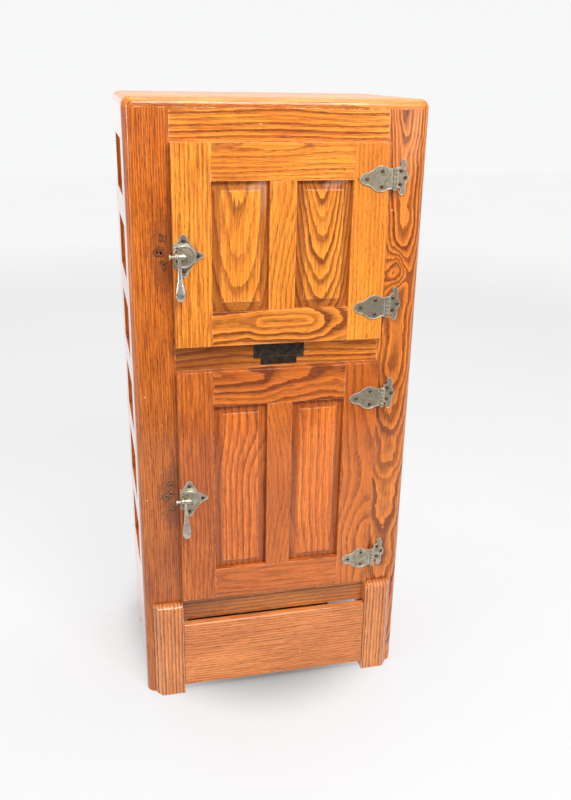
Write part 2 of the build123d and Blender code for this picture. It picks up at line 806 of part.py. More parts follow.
for door in doors:
    z_span = (door.bottom, door.top)
    rail_gap = (door.bottom_rail_top, door.top_rail_bottom)
    latch_points = at_heights(latch_screw_spots, [door.latch_height])
    hinge_points = at_heights(door_screw_spots, door.hinges)

    with BuildPart() as door_stiles:
        block((-door_half, -stile_inner), door_frame_y, z_span)
        block((stile_inner, door_half), door_frame_y, z_span)
        front_edges = door_stiles.edges().filter_by(Axis.Z).group_by(Axis.Y)[0].sort_by(Axis.X)
        fillet([front_edges[0], front_edges[-1]], door_edge_round)
        for span in (
            (-stile_inner - groove_depth, -stile_inner),
            (stile_inner, stile_inner + groove_depth),
        ):
            block(span, panel_groove_y, z_span, Mode.SUBTRACT)
        pilots(latch_points, door_face)
        pilots(hinge_points, door_face)
    save(door_stiles, f"{door.name}_door_stiles")

    with BuildPart() as door_rails:
        for low, high in ((door.bottom, rail_gap[0]), (rail_gap[1], door.top)):
            block((-stile_inner, stile_inner), door_frame_y, (low, high))
            tongues = (-stile_inner - tongue_length, stile_inner + tongue_length)
            block(tongues, panel_groove_y, (low, high))
        grooves = ((rail_gap[0] - groove_depth, rail_gap[0]), (rail_gap[1], rail_gap[1] + groove_depth))
        for span in grooves:
            groove_x = (-stile_inner - groove_depth, stile_inner + groove_depth)
            block(groove_x, panel_groove_y, span, Mode.SUBTRACT)
    save(door_rails, f"{door.name}_door_rails")

    with BuildPart() as door_muntin:
        block((-muntin_half, muntin_half), door_frame_y, rail_gap)
        for span in (
            (-muntin_half, -muntin_half + groove_depth),
            (muntin_half - groove_depth, muntin_half),
        ):
            block(span, panel_groove_y, rail_gap, Mode.SUBTRACT)
        tongue_half = muntin_half - groove_depth
        block(
            (-tongue_half, tongue_half), panel_groove_y,
            (rail_gap[0] - tongue_length, rail_gap[1] + tongue_length),
        )
    save(door_muntin, f"{door.name}_door_muntin")

    with BuildPart() as door_panels:
        panel_width = stile_inner - muntin_half
        panel_tall = rail_gap[1] - rail_gap[0]
        step_y = door_face + raised_field_sink + raised_panel_step
        for centre in (-(stile_inner + muntin_half) / 2, (stile_inner + muntin_half) / 2):
            middle = (centre, (rail_gap[0] + rail_gap[1]) / 2)
            block(
                (centre - panel_width / 2 - tongue_length, centre + panel_width / 2 + tongue_length),
                panel_groove_y,
                (rail_gap[0] - tongue_length, rail_gap[1] + tongue_length),
            )
            with BuildSketch(Plane.XZ.offset(-panel_front)) as bevel_foot:
                with Locations(middle):
                    Rectangle(panel_width - 1, panel_tall - 1)
            with BuildSketch(Plane.XZ.offset(-step_y)) as bevel_top:
                with Locations(middle):
                    bevels = 2 * raised_panel_bevel
                    Rectangle(panel_width - bevels, panel_tall - bevels)
            loft([bevel_foot.sketch, bevel_top.sketch])
            extrude(bevel_top.sketch, amount=raised_panel_step)
    save(door_panels, f"{door.name}_door_panels")

    plug_inset = jamb_thickness + plug_clearance
    plug_z = (door.opening[0] + plug_inset, door.opening[1] - plug_inset)
    plug_y = (door_back, plug_back)
    with BuildPart() as plug:
        block((-plug_half, -plug_half + plug_board), plug_y, plug_z)
        block((plug_half - plug_board, plug_half), plug_y, plug_z)
        across = plug_half - plug_board - board_gap
        for low in (plug_z[0], plug_z[1] - plug_board):
            block((-across, across), plug_y, (low, low + plug_board))
    save(plug, f"{door.name}_door_plug")

    with BuildPart() as filling:
        block(
            (-plug_half + plug_board, plug_half - plug_board), plug_y,
            (plug_z[0] + plug_board, plug_z[1] - plug_board),
        )
    save(filling, f"{door.name}_door_insulation")

    with BuildPart() as lining:
        block((-plug_half, plug_half), (plug_back, plug_back + liner_thickness), plug_z)
    save(lining, f"{door.name}_door_lining")

    gasket_y = (door_back, front - gasket_gap)
    gasket_out = opening_half - gasket_edge_inset
    gasket_z = (door.opening[0] + gasket_edge_inset, door.opening[1] - gasket_edge_inset)
    with BuildPart() as gasket:
        block((-gasket_out, -gasket_out + gasket_width), gasket_y, gasket_z)
        block((gasket_out - gasket_width, gasket_out), gasket_y, gasket_z)
        for low in (gasket_z[0], gasket_z[1] - gasket_width):
            across = gasket_out - gasket_width
            block((-across, across), gasket_y, (low, low + gasket_width))
    save(gasket, f"{door.name}_door_gasket")

    with BuildPart() as hinge_leaves:
        for level in door.hinges:
            with BuildSketch(Plane.XZ.offset(-door_face)) as outline:
                with BuildLine():
                    tip = hinge_x - leaf_tip_reach
                    Line((hinge_x - 0.5, 0), (hinge_x - 0.5, leaf_top))
                    Line((hinge_x - 0.5, leaf_top), (hinge_x - 10, leaf_top))
                    Spline(
                        (hinge_x - 10, leaf_top), (hinge_x - 18, 23), (hinge_x - 29.5, 25.5),
                        (hinge_x - 44, 20), (hinge_x - 56, 12.5),
                        tangents=((-1, 0), (-1, -0.1)),
                    )
                    ThreePointArc((hinge_x - 56, 12.5), (tip + 6, 8.5), (tip, 0))
                    Line((tip, 0), (hinge_x - 0.5, 0))
                make_face()
                mirror(about=Plane.XZ)
            leaf = extrude(outline.sketch, amount=leaf_thickness, mode=Mode.PRIVATE)
            add(leaf.moved(Location((0, 0, level))))
            barrel(level, 1)
            leaf_holes(door_screw_spots, level, door_leaf_surface)
    save(hinge_leaves, f"{door.name}_door_hinge_leaves")

    with BuildPart() as door_screws:
        screws(hinge_points, door_leaf_surface)
        screws(latch_points, plate_surface)
    save(door_screws, f"{door.name}_door_screws")

    level = door.latch_height
    bar_z = level + bar_rise
    lug_spans = [
        (lever_x - hub_width / 2 - lug_gap - lug_width, lever_x - hub_width / 2 - lug_gap),
        (lever_x + hub_width / 2 + lug_gap, lever_x + hub_width / 2 + lug_gap + lug_width),
    ]
    boss_front = plate_surface - latch_boss_height
    with BuildPart() as latch_plate:
        with BuildSketch(Plane.XZ.offset(-door_face)) as plate_outline:
            Circle(latch_boss_radius + 2)
            with BuildLine():
                Polyline(
                    (-18, 16), (-6, latch_lobe_reach - 5), (6, latch_lobe_reach - 5), (19, 16),
                    (latch_tip_reach - 5, 4.5), (latch_tip_reach - 5, -4.5), (19, -16),
                    (6, -latch_lobe_reach + 5), (-6, -latch_lobe_reach + 5), (-18, -16),
                    close=True,
                )
            make_face()
            lobe_z = latch_lobe_reach - latch_lobe_radius
            with Locations((0, lobe_z), (0, -lobe_z)):
                Circle(latch_lobe_radius)
            with Locations((latch_tip_reach - latch_tip_radius, 0)):
                Circle(latch_tip_radius)
            with Locations((-latch_centre_inset + 8, 0)):
                Rectangle(16, 48)
            cut_width = 20
            with Locations((-latch_centre_inset - cut_width / 2, 0)):
                Rectangle(cut_width, 3 * latch_lobe_reach, mode=Mode.SUBTRACT)
        base = extrude(plate_outline.sketch, amount=latch_plate_thickness, mode=Mode.PRIVATE)
        add(base.moved(Location((latch_x, 0, level))))
        with BuildSketch(Plane.XZ.offset(-plate_surface)) as boss_outline:
            Circle(latch_boss_radius)
            with Locations((-latch_centre_inset - cut_width / 2, 0)):
                Rectangle(cut_width, 3 * latch_lobe_reach, mode=Mode.SUBTRACT)
        boss = extrude(boss_outline.sketch, amount=latch_boss_height, mode=Mode.PRIVATE)
        add(boss.moved(Location((latch_x, 0, level))))
        rounded = [
            edge for edge in latch_plate.edges().group_by(Axis.Y)[0]
            if edge.geom_type == GeomType.CIRCLE
        ]
        fillet(rounded, latch_boss_round)
        for span in lug_spans:
            block(span, (bar_y, boss_front + 3), (bar_z - lug_radius, bar_z + lug_radius))
            rod_x(span, bar_y, bar_z, lug_radius)
        bar_hole = (lug_spans[0][0] - 1, lug_spans[1][1] + 1)
        rod_x(bar_hole, bar_y, bar_z, bar_radius + running_clearance, Mode.SUBTRACT)
        for x, z in latch_screw_spots:
            hole = screw_shank_radius + pilot_clearance
            rod_y(x, (plate_surface - 1, door_face + 1), z + level, hole, Mode.SUBTRACT)
    save(latch_plate, f"{door.name}_latch_plate")

    with BuildPart() as latch_lever:
        with BuildSketch(Plane.YZ.offset(lever_x - 12)) as side_view:
            with BuildLine():
                Spline(
                    (bar_y - 2.5, bar_z), (bar_y - 2.5, bar_z - 30), (bar_y - 6, bar_z - 56),
                    (front - lever_proud, bar_z - 74), (front - lever_proud + 3, bar_z - lever_length),
                )
                Line(
                    (front - lever_proud + 3, bar_z - lever_length),
                    (front - lever_proud + 5.5, bar_z - lever_length + 1),
                )
                Spline(
                    (front - lever_proud + 5.5, bar_z - lever_length + 1),
                    (front - lever_proud + 3, bar_z - 72), (bar_y - 2.6, bar_z - 55),
                    (bar_y + 2, bar_z - 30), (bar_y + 2.5, bar_z),
                )
                Line((bar_y + 2.5, bar_z), (bar_y - 2.5, bar_z))
            make_face()
        flat = extrude(side_view.sketch, amount=24, mode=Mode.PRIVATE)
        with BuildSketch(Plane.XZ.offset(-bar_y - 20)) as front_view:
            with BuildLine():
                Line((0, 0), (hub_width / 2, 0))
                Spline(
                    (hub_width / 2, 0), (3.3, -18), (4.2, -38), (8, -62), (8.6, -76),
                    (4.5, -lever_length + 1),
                    (0, -lever_length), tangents=((0, -1), (-1, 0)),
                )
                Line((0, -lever_length), (0, 0))
            make_face()
            mirror(about=Plane.YZ)
        wide = extrude(front_view.sketch, amount=60, mode=Mode.PRIVATE)
        wide = wide.moved(Location((lever_x, 0, bar_z)))
        add(flat & wide)
        rod_x((lever_x - hub_width / 2, lever_x + hub_width / 2), bar_y, bar_z, hub_radius)
        rod_x((bar_x, bar_x + bar_length), bar_y, bar_z, bar_radius)
        rod_x((bar_x, bar_x + bar_flange_thickness), bar_y, bar_z, bar_flange_radius)
    save(latch_lever, f"{door.name}_latch_lever")

# ---- board between the feet, hinged on two pins near its top edge ----
with BuildPart() as baseboard:
    block((-kick_half, kick_half), (front - kick_proud, front - kick_back_gap), (floor_gap, kick_top))
    top_front = baseboard.edges().filter_by(Axis.X).sort_by(Axis.Z)[-2:].sort_by(Axis.Y)[0]
    fillet(top_front, kick_round)
    for sign in (-1, 1):
        hole = (kick_half - kick_pin_length - kick_hole_play, kick_half + 1)
        hole = hole if sign > 0 else mirrored(hole)
        hole_radius = kick_pin_radius + running_clearance
        rod_x(hole, kick_axis_y, kick_axis_z, hole_radius, Mode.SUBTRACT)
save(baseboard, "baseboard")

# ---- drip pan that slides out from under the case ----
with BuildPart() as drip_pan:
    pan_y = (front + pan_set_back, front + pan_set_back + pan_depth)
    pan_z = (pan_floor_gap, pan_floor_gap + pan_height)
    block((-pan_width / 2, pan_width / 2), pan_y, pan_z)
    block(
        (-pan_width / 2 + pan_wall, pan_width / 2 - pan_wall),
        (pan_y[0] + pan_wall, pan_y[1] - pan_wall),
        (pan_z[0] + pan_wall, pan_z[1] + 1),
        Mode.SUBTRACT,
    )
save(drip_pan, "drip_pan")
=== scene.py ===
import json
import math
from dataclasses import dataclass

import bpy
from bpy.props import FloatProperty, FloatVectorProperty, PointerProperty
from mathutils import Euler, Matrix, Vector


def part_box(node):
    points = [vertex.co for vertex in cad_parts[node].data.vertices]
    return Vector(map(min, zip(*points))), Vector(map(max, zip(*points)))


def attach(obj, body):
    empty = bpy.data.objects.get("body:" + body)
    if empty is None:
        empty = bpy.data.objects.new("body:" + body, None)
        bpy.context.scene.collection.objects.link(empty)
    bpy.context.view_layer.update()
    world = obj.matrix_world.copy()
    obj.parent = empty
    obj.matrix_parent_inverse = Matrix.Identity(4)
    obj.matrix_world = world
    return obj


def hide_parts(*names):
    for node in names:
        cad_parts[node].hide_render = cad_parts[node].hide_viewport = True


bl_info = {
    "name": "Oak Icebox",
    "version": (1, 0, 0),
    "blender": (4, 5, 0),
    "location": "View3D > Sidebar > Icebox",
    "description": "Dresses a two-door oak icebox with its hardware, finishes and studio",
    "category": "Object",
}

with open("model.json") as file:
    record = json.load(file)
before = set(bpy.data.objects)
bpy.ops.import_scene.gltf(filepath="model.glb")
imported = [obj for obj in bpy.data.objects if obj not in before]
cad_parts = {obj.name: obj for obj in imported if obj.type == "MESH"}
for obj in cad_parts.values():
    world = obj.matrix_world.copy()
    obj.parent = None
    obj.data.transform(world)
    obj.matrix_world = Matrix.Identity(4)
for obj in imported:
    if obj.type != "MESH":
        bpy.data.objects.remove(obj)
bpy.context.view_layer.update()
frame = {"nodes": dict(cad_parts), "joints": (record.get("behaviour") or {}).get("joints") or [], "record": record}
NODES = frame["nodes"]
MM = 0.001
LEAF_THICKNESS = 2.4 * MM
PLATE_THICKNESS = 2 * MM
BOSS_HEIGHT = 6 * MM
LATCH_CENTRE_INSET = 19.7 * MM
CAP_SUNK = 0.3 * MM
RIM_SUNK = 0.7 * MM
HALF_HUB = 4.2 * MM
HUB_RADIUS = 5.0 * MM
BAR_RADIUS = 3.2 * MM
DOORS = ("upper", "lower")
STRIKE_HOLES = (((-18, 31), (-28.5, 4), (-22, 3), (-17, -21)),
                ((-17, 25), (-28, -2), (-18, 4.5), (-14.5, -27)))
STEEL_NODES = ("zinc_liner", "upper_door_lining", "lower_door_lining", "ice_pan", "drip_pan",
               "drain_pipe", "drain_trap", "lower_shelf", "upper_shelf")
PINE_NODES = ("inner_case_boards", "base_board", "back_boards", "upper_jamb", "lower_jamb",
              "chamber_divider", "ice_rack", "shelf_cleats", "upper_door_plug", "lower_door_plug")


# ---------------------------------------------------------------- properties
class IceboxWood(bpy.types.PropertyGroup):
    """Colours and figure of the oak."""
    light: FloatVectorProperty(
        name="Light oak", description="Varnished oak between the growth rings",
        subtype="COLOR", size=3, min=0, max=1, default=(0.86, 0.265, 0.030))
    dark: FloatVectorProperty(
        name="Ring", description="Dark porous line of each growth ring",
        subtype="COLOR", size=3, min=0, max=1, default=(0.22, 0.040, 0.007))
    pore: FloatVectorProperty(
        name="Pore", description="Stain held in the open pores",
        subtype="COLOR", size=3, min=0, max=1, default=(0.075, 0.014, 0.004))
    faded: FloatVectorProperty(
        name="Faded oak", description="Pinker, drier oak near the floor",
        subtype="COLOR", size=3, min=0, max=1, default=(0.60, 0.235, 0.085))
    grime: FloatVectorProperty(
        name="Grime", description="Old dirt in corners and round handles",
        subtype="COLOR", size=3, min=0, max=1, default=(0.060, 0.018, 0.007))
    pine: FloatVectorProperty(
        name="Pine", description="Plain softwood inside and at the back",
        subtype="COLOR", size=3, min=0, max=1, default=(0.56, 0.33, 0.15))
    edge_round: FloatProperty(
        name="Edge rounding", description="Softened edge of each board",
        unit="LENGTH", default=0.45 * MM, min=0, max=0.005)


class IceboxMetal(bpy.types.PropertyGroup):
    """Colours and edges of the hardware."""
    nickel: FloatVectorProperty(
        name="Nickel", description="Worn nickel plate",
        subtype="COLOR", size=3, min=0, max=1, default=(0.50, 0.445, 0.33))
    tarnish: FloatVectorProperty(
        name="Tarnish", description="Yellow brown film on the plate",
        subtype="COLOR", size=3, min=0, max=1, default=(0.185, 0.14, 0.08))
    screw: FloatVectorProperty(
        name="Screw", description="Tarnished screw heads",
        subtype="COLOR", size=3, min=0, max=1, default=(0.085, 0.045, 0.032))
    zinc: FloatVectorProperty(
        name="Zinc", description="Dull galvanised sheet",
        subtype="COLOR", size=3, min=0, max=1, default=(0.50, 0.52, 0.53))
    edge_round: FloatProperty(
        name="Edge rounding", description="Rounded edge of the castings",
        unit="LENGTH", default=0.55 * MM, min=0, max=0.003)


class IceboxStage(bpy.types.PropertyGroup):
    """Camera and lights."""
    camera_place: FloatVectorProperty(
        name="Camera place", description="Where the camera stands",
        unit="LENGTH", size=3, default=(-0.3807, -1.8303, 1.3683))
    camera_yaw: FloatProperty(
        name="Yaw", description="Turn of the view to the right of +Y",
        subtype="ANGLE", default=0.2345)
    camera_pitch: FloatProperty(
        name="Pitch", description="Tilt of the view above the level",
        subtype="ANGLE", default=-0.3659)
    camera_roll: FloatProperty(
        name="Roll", description="Turn of the camera about its view",
        subtype="ANGLE", default=0.0195)
    lens: FloatProperty(
        name="Lens", description="Focal length in millimetres on a 36 mm sensor",
        default=38.63, min=10, max=200)
    backdrop: FloatVectorProperty(
        name="Backdrop", description="Pale paper under and behind the object",
        subtype="COLOR", size=3, min=0, max=1, default=(0.90, 0.90, 0.905))


# ---------------------------------------------------------------- node trees
class Graph:
    """Short calls for building one node tree."""

    def __init__(self, tree):
        self.tree = tree

    def node(self, kind, **settings):
        made = self.tree.nodes.new(kind)
        for key, value in settings.items():
            setattr(made, key, value)
        return made

    def set(self, socket, value):
        if isinstance(value, bpy.types.NodeSocket):
            self.tree.links.new(value, socket)
        elif value is not None:
            socket.default_value = value

    def feed(self, node, **values):
        """Sets or links inputs by name, with _ for a space."""
        for key, value in values.items():
            self.set(node.inputs[key.replace("_", " ")], value)

    def math(self, operation, a, b=None, c=None, clamp=False):
        made = self.node("ShaderNodeMath", operation=operation, use_clamp=clamp)
        for socket, value in zip(made.inputs, (a, b, c)):
            self.set(socket, value)
        return made.outputs[0]

    def times(self, a, b, clamp=False):
        return self.math("MULTIPLY", a, b, clamp=clamp)

    def times_plus(self, a, b, c, clamp=False):
        return self.math("MULTIPLY_ADD", a, b, c, clamp=clamp)

    def vector(self, operation, a, b=None):
        made = self.node("ShaderNodeVectorMath", operation=operation)
        self.set(made.inputs[0], a)
        self.set(made.inputs[1], b)
        return made.outputs["Value" if operation in ("LENGTH", "DOT_PRODUCT") else "Vector"]

    def mix(self, factor, a, b, blend="MIX"):
        made = self.node("ShaderNodeMix", data_type="RGBA", blend_type=blend)
        for place, value in ((0, factor), (6, a), (7, b)):
            self.set(made.inputs[place], value)
        return made.outputs[2]

    def noise(self, vector, scale=1.0, detail=2.0, roughness=0.5, distortion=0.0):
        made = self.node("ShaderNodeTexNoise")
        self.feed(made, Vector=vector, Scale=scale, Detail=detail, Roughness=roughness,
                  Distortion=distortion)
        return made.outputs["Fac"]

    def cells(self, vector, scale, output="Distance"):
        made = self.node("ShaderNodeTexVoronoi", feature="F1")
        self.feed(made, Vector=vector, Scale=scale)
        return made.outputs[output]

    def span(self, value, low, high, to_low=0.0, to_high=1.0, smooth=True):
        made = self.node("ShaderNodeMapRange", clamp=True)
        made.interpolation_type = "SMOOTHSTEP" if smooth else "LINEAR"
        for socket, number in zip(made.inputs, (value, low, high, to_low, to_high)):
            self.set(socket, number)
        return made.outputs[0]

    def curve(self, value, stops):
        made = self.node("ShaderNodeValToRGB")
        self.set(made.inputs[0], value)
        ramp = made.color_ramp
        while len(ramp.elements) < len(stops):
            ramp.elements.new(0.5)
        for element, (place, level) in zip(ramp.elements, stops):
            element.position = place
            element.color = (level, level, level, 1)
        return made.outputs[0]

    def split(self, vector):
        made = self.node("ShaderNodeSeparateXYZ")
        self.set(made.inputs[0], vector)
        return made.outputs

    def join(self, x, y, z):
        made = self.node("ShaderNodeCombineXYZ")
        for socket, value in zip(made.inputs, (x, y, z)):
            self.set(socket, value)
        return made.outputs[0]

    def group(self, name, **values):
        made = self.node("ShaderNodeGroup")
        made.node_tree = bpy.data.node_groups[name]
        self.feed(made, **values)
        return made.outputs

    def patch(self, place, centre, reach, ragged):
        return self.group("Patch", Vector=place, Centre=centre, Reach=reach, Ragged=ragged)["Mask"]

    def turned_edge(self, radius, start, full):
        """How far a rounded normal turns away from the face: a mask of the edges."""
        bevel = self.node("ShaderNodeBevel", samples=4)
        self.feed(bevel, Radius=radius)
        normal = self.node("ShaderNodeNewGeometry").outputs["Normal"]
        return self.span(self.vector("DOT_PRODUCT", bevel.outputs[0], normal), start, full)


def new_group(name, inputs, outputs):
    """An empty shader group with named sockets; returns its graph, inputs and output node."""
    tree = bpy.data.node_groups.new(name, "ShaderNodeTree")
    for label, kind, default in inputs:
        socket = tree.interface.new_socket(label, in_out="INPUT", socket_type=kind)
        if default is not None:
            socket.default_value = default
    for label, kind in outputs:
        tree.interface.new_socket(label, in_out="OUTPUT", socket_type=kind)
    graph = Graph(tree)
    return graph, graph.node("NodeGroupInput").outputs, graph.node("NodeGroupOutput").inputs


FLOAT, VECTOR = "NodeSocketFloat", "NodeSocketVector"
FIGURE_INPUTS = ("Seed", "Heart", "Depth", "Wander", "Wave", "Spacing", "Stretch", "Taper", "Band",
                 "Steep", "Knot", "Knot_Lift", "Knot_Size")


def make_figure_group():
    """Growth rings, pores and fibre of one board. The board's length runs along Z."""
    graph, given, out = new_group(
        "Board figure",
        [("Vector", VECTOR, None), ("Seed", FLOAT, 0.0), ("Heart", FLOAT, 0.0),
         ("Depth", FLOAT, 0.03), ("Wander", FLOAT, 0.02), ("Wave", FLOAT, 0.003),
         ("Spacing", FLOAT, 0.006), ("Stretch", FLOAT, 1.5), ("Taper", FLOAT, 0.0), ("Band", FLOAT, 0.0),
         ("Steep", FLOAT, 1.0),
         ("Knot", VECTOR, None), ("Knot Lift", FLOAT, 0.0), ("Knot Size", FLOAT, 0.03)],
        [("Rings", FLOAT), ("Pores", FLOAT), ("Fibre", FLOAT), ("Blotch", FLOAT)])
    seed = graph.join(given["Seed"], graph.times(given["Seed"], 1.7), given["Seed"])
    x, y, z = graph.split(given["Vector"])
    long = graph.times(z, given["Stretch"])

    def drawn_out(across_scale, along_scale):
        """The place squeezed along the board by its own scale, moved by the seed."""
        return graph.vector("ADD", graph.join(
            graph.times(x, across_scale), graph.times(y, across_scale), graph.times(z, along_scale)), seed)

    def wander(across_scale, along_scale, shift):
        """A smooth value about zero that changes slowly along the board."""
        spot = graph.join(graph.times(x, across_scale),
                          graph.times(y, across_scale),
                          graph.times(long, along_scale))
        moved = graph.vector("ADD", graph.vector("ADD", spot, seed), (shift, shift, shift))
        return graph.math("SUBTRACT", graph.noise(moved, detail=1.0), 0.5)

    across = graph.math("SUBTRACT", x, given["Heart"])
    across = graph.times_plus(wander(2.0, 1.4, 3.1), given["Wander"], across)
    across = graph.times_plus(wander(20.0, 7.0, 5.3), given["Wave"], across)
    across = graph.times(across, given["Steep"])
    depth = graph.times_plus(wander(1.0, 2.2, 9.7),
                       graph.times(given["Wander"], 4.0), given["Depth"])
    depth = graph.times_plus(wander(34.0, 14.0, 1.9), given["Wave"], depth)
    depth = graph.math("MAXIMUM", graph.times_plus(z, given["Taper"], depth), 0.0)
    radius = graph.math("SQRT", graph.math(
        "ADD", graph.times(across, across), graph.times(depth, depth)))
    knot_x, _, knot_z = graph.split(given["Knot"])
    near_x = graph.math("SUBTRACT", x, knot_x)
    near_x = graph.times_plus(wander(34.0, 18.0, 7.7), given["Knot Size"], near_x)
    near_z = graph.times(graph.math("SUBTRACT", z, knot_z), 0.55)
    near = graph.math("ADD", graph.times(near_x, near_x),
                      graph.times(near_z, near_z))
    width = graph.times(given["Knot Size"], given["Knot Size"])
    bump = graph.math("EXPONENT", graph.times(graph.math("DIVIDE", near, width), -1.0))
    field = graph.times_plus(bump, given["Knot Lift"], radius)
    turns = graph.math("DIVIDE", field, given["Spacing"])
    jitter = drawn_out(160.0, 26.0)
    turns = graph.times_plus(graph.noise(jitter, detail=2.0), 0.42, turns)
    ragged = graph.vector("MULTIPLY", jitter, (3.6, 3.6, 1.6))
    turns = graph.times_plus(graph.noise(ragged, detail=1.0), 0.20, turns)
    phase = graph.math("FRACT", turns)
    line = graph.curve(phase, (
        (0.0, 0.0), (0.045, 1.0), (0.22, 0.82), (0.42, 0.34), (0.75, 0.07), (1.0, 0.0)))
    ring = graph.node("ShaderNodeTexWhiteNoise", noise_dimensions="1D")
    graph.feed(ring, W=graph.math("FLOOR", turns))
    strength = graph.span(ring.outputs["Value"], 0.0, 1.0, 0.45, 1.0, smooth=False)
    broad = graph.times_plus(given["Band"], 2.2, 1.0)
    line = graph.times(line, broad, clamp=True)
    rings = graph.times(line, strength)
    specks = graph.span(graph.noise(drawn_out(950.0, 66.0)), 0.52, 0.64)
    pores = graph.times(specks, graph.times_plus(rings, 0.80, 0.24), clamp=True)
    graph.set(out["Rings"], rings)
    graph.set(out["Pores"], pores)
    graph.set(out["Fibre"], graph.noise(drawn_out(430.0, 13.0), detail=3.0, roughness=0.6))
    graph.set(out["Blotch"], graph.noise(drawn_out(9.0, 3.2), detail=3.0, roughness=0.55))


def make_wear_group():
    """Edges (for worn varnish and a painted edge highlight), small dents and dust, from a rounded normal and
    noise.
    """
    graph, given, out = new_group(
        "Handling",
        [("Vector", VECTOR, None), ("Radius", FLOAT, 0.003), ("Scratches", FLOAT, 0.5)],
        [("Edge", FLOAT), ("Nicks", FLOAT), ("Flecks", FLOAT), ("Smudge", FLOAT)])
    place = given["Vector"]
    turned = graph.turned_edge(given["Radius"], 0.995, 0.80)
    broken = graph.span(graph.noise(place, scale=70.0, detail=4.0, roughness=0.65), 0.42, 0.62)
    graph.set(out["Edge"], graph.times(turned, broken))
    dot = graph.span(graph.cells(place, 17.0), 0.055, 0.02)
    rare = graph.span(graph.noise(place, scale=6.0, detail=1.0), 0.52, 0.60)
    fleck = graph.cells(graph.vector("MULTIPLY", place, (1.0, 1.0, 1.7)), 26.0)
    paint_dot = graph.span(fleck, 0.075, 0.045)
    seldom = graph.span(graph.noise(place, scale=5.2, detail=1.0), 0.60, 0.66)
    graph.set(out["Flecks"], graph.times(paint_dot, seldom))
    scratch_place = graph.vector("MULTIPLY", place, (60.0, 60.0, 190.0))
    lines = graph.span(graph.noise(scratch_place, detail=3.0, distortion=1.6), 0.665, 0.70)
    lines = graph.times(lines, given["Scratches"])
    graph.set(out["Nicks"], graph.math("MAXIMUM", graph.times(dot, rare), lines))
    graph.set(out["Smudge"], graph.noise(place, scale=22.0, detail=5.0, roughness=0.6))


def make_spot_group():
    """A soft-edged patch round a point, broken up by noise."""
    graph, given, out = new_group(
        "Patch",
        [("Vector", VECTOR, None), ("Centre", VECTOR, None), ("Reach", VECTOR, (0.02, 0.02, 0.02)),
         ("Ragged", FLOAT, 0.4)],
        [("Mask", FLOAT)])
    offset = graph.vector("SUBTRACT", given["Vector"], given["Centre"])
    distance = graph.vector("LENGTH", graph.vector("DIVIDE", offset, given["Reach"]))
    rough = graph.math("SUBTRACT", graph.noise(given["Vector"], scale=130.0, detail=4.0), 0.5)
    distance = graph.times_plus(rough, given["Ragged"], distance)
    graph.set(out["Mask"], graph.span(distance, 1.0, 0.55))


def make_patina_group():
    """Dull film, an edge mask (for worn plate and a painted edge highlight) and pits of old plated castings."""
    graph, given, out = new_group(
        "Patina",
        [("Vector", VECTOR, None), ("Film", FLOAT, 0.5), ("Radius", FLOAT, 0.0012)],
        [("Film", FLOAT), ("Edge", FLOAT), ("Pits", FLOAT), ("Cloud", FLOAT)])
    place = given["Vector"]
    cloud = graph.noise(place, scale=95.0, detail=5.0, roughness=0.62)
    graph.set(out["Cloud"], cloud)
    graph.set(out["Film"], graph.times(graph.span(cloud, 0.36, 0.66), given["Film"]))
    graph.set(out["Edge"], graph.turned_edge(given["Radius"], 0.99, 0.80))
    graph.set(out["Pits"], graph.span(graph.noise(place, scale=520.0, detail=3.0), 0.60, 0.74))


def finish_material(name, build):
    """A material whose nodes are laid by build(graph, coordinates, shader)."""
    material = bpy.data.materials.new(name)
    material.use_nodes = True
    graph = Graph(material.node_tree)
    coordinates = graph.node("ShaderNodeTexCoord").outputs["Object"]
    build(graph, coordinates, material.node_tree.nodes["Principled BSDF"])
    return material


def bumped(graph, shader, layers):
    """Chains bump nodes, one for each (height, strength, distance), into the shader's normal."""
    normal = None
    for height, strength, distance in layers:
        bump = graph.node("ShaderNodeBump")
        graph.feed(bump, Height=height, Strength=strength, Distance=distance, Normal=normal)
        normal = bump.outputs[0]
    graph.feed(shader, Normal=normal)


def rgba(colour, gain=1.0):
    return (*(min(1.0, part * gain) for part in colour[:3]), 1.0)


def board_vector(graph, coordinates, centre, flat):
    """Moves a board's middle to the origin and turns its length from X to Z.

    flat is False for an upright board, True for a rail, "lying" for a board with its face up.
    """
    mapping = graph.node("ShaderNodeMapping", vector_type="POINT")
    quarter = math.radians(90)
    turns = {False: (0.0, 0.0, 0.0), True: (0.0, quarter, 0.0), "lying": (quarter, quarter, 0.0)}
    turn = Euler(turns[flat])
    spot = Vector(centre)
    spot.rotate(turn)
    graph.feed(mapping, Vector=coordinates, Rotation=turn, Location=-spot)
    return mapping.outputs[0]


@dataclass
class Board:
    """What makes one board's figure its own; lengths are in metres."""
    seed: float
    flat: object = False
    heart: float = 0.0
    depth: float = 0.03
    wander: float = 0.02
    wave: float = 0.003
    spacing: float = 0.006
    stretch: float = 1.5
    taper: float = 0.0
    band: float = 0.0
    steep: float = 1.0
    streaks: float = 0.6
    contrast: float = 0.75
    tone: float = 1.0
    faded: float = 0.0
    red: float = 0.0
    knot: tuple = (0, 0, 0)
    knot_lift: float = 0.0
    knot_size: float = 0.03
    pores: float = 0.8


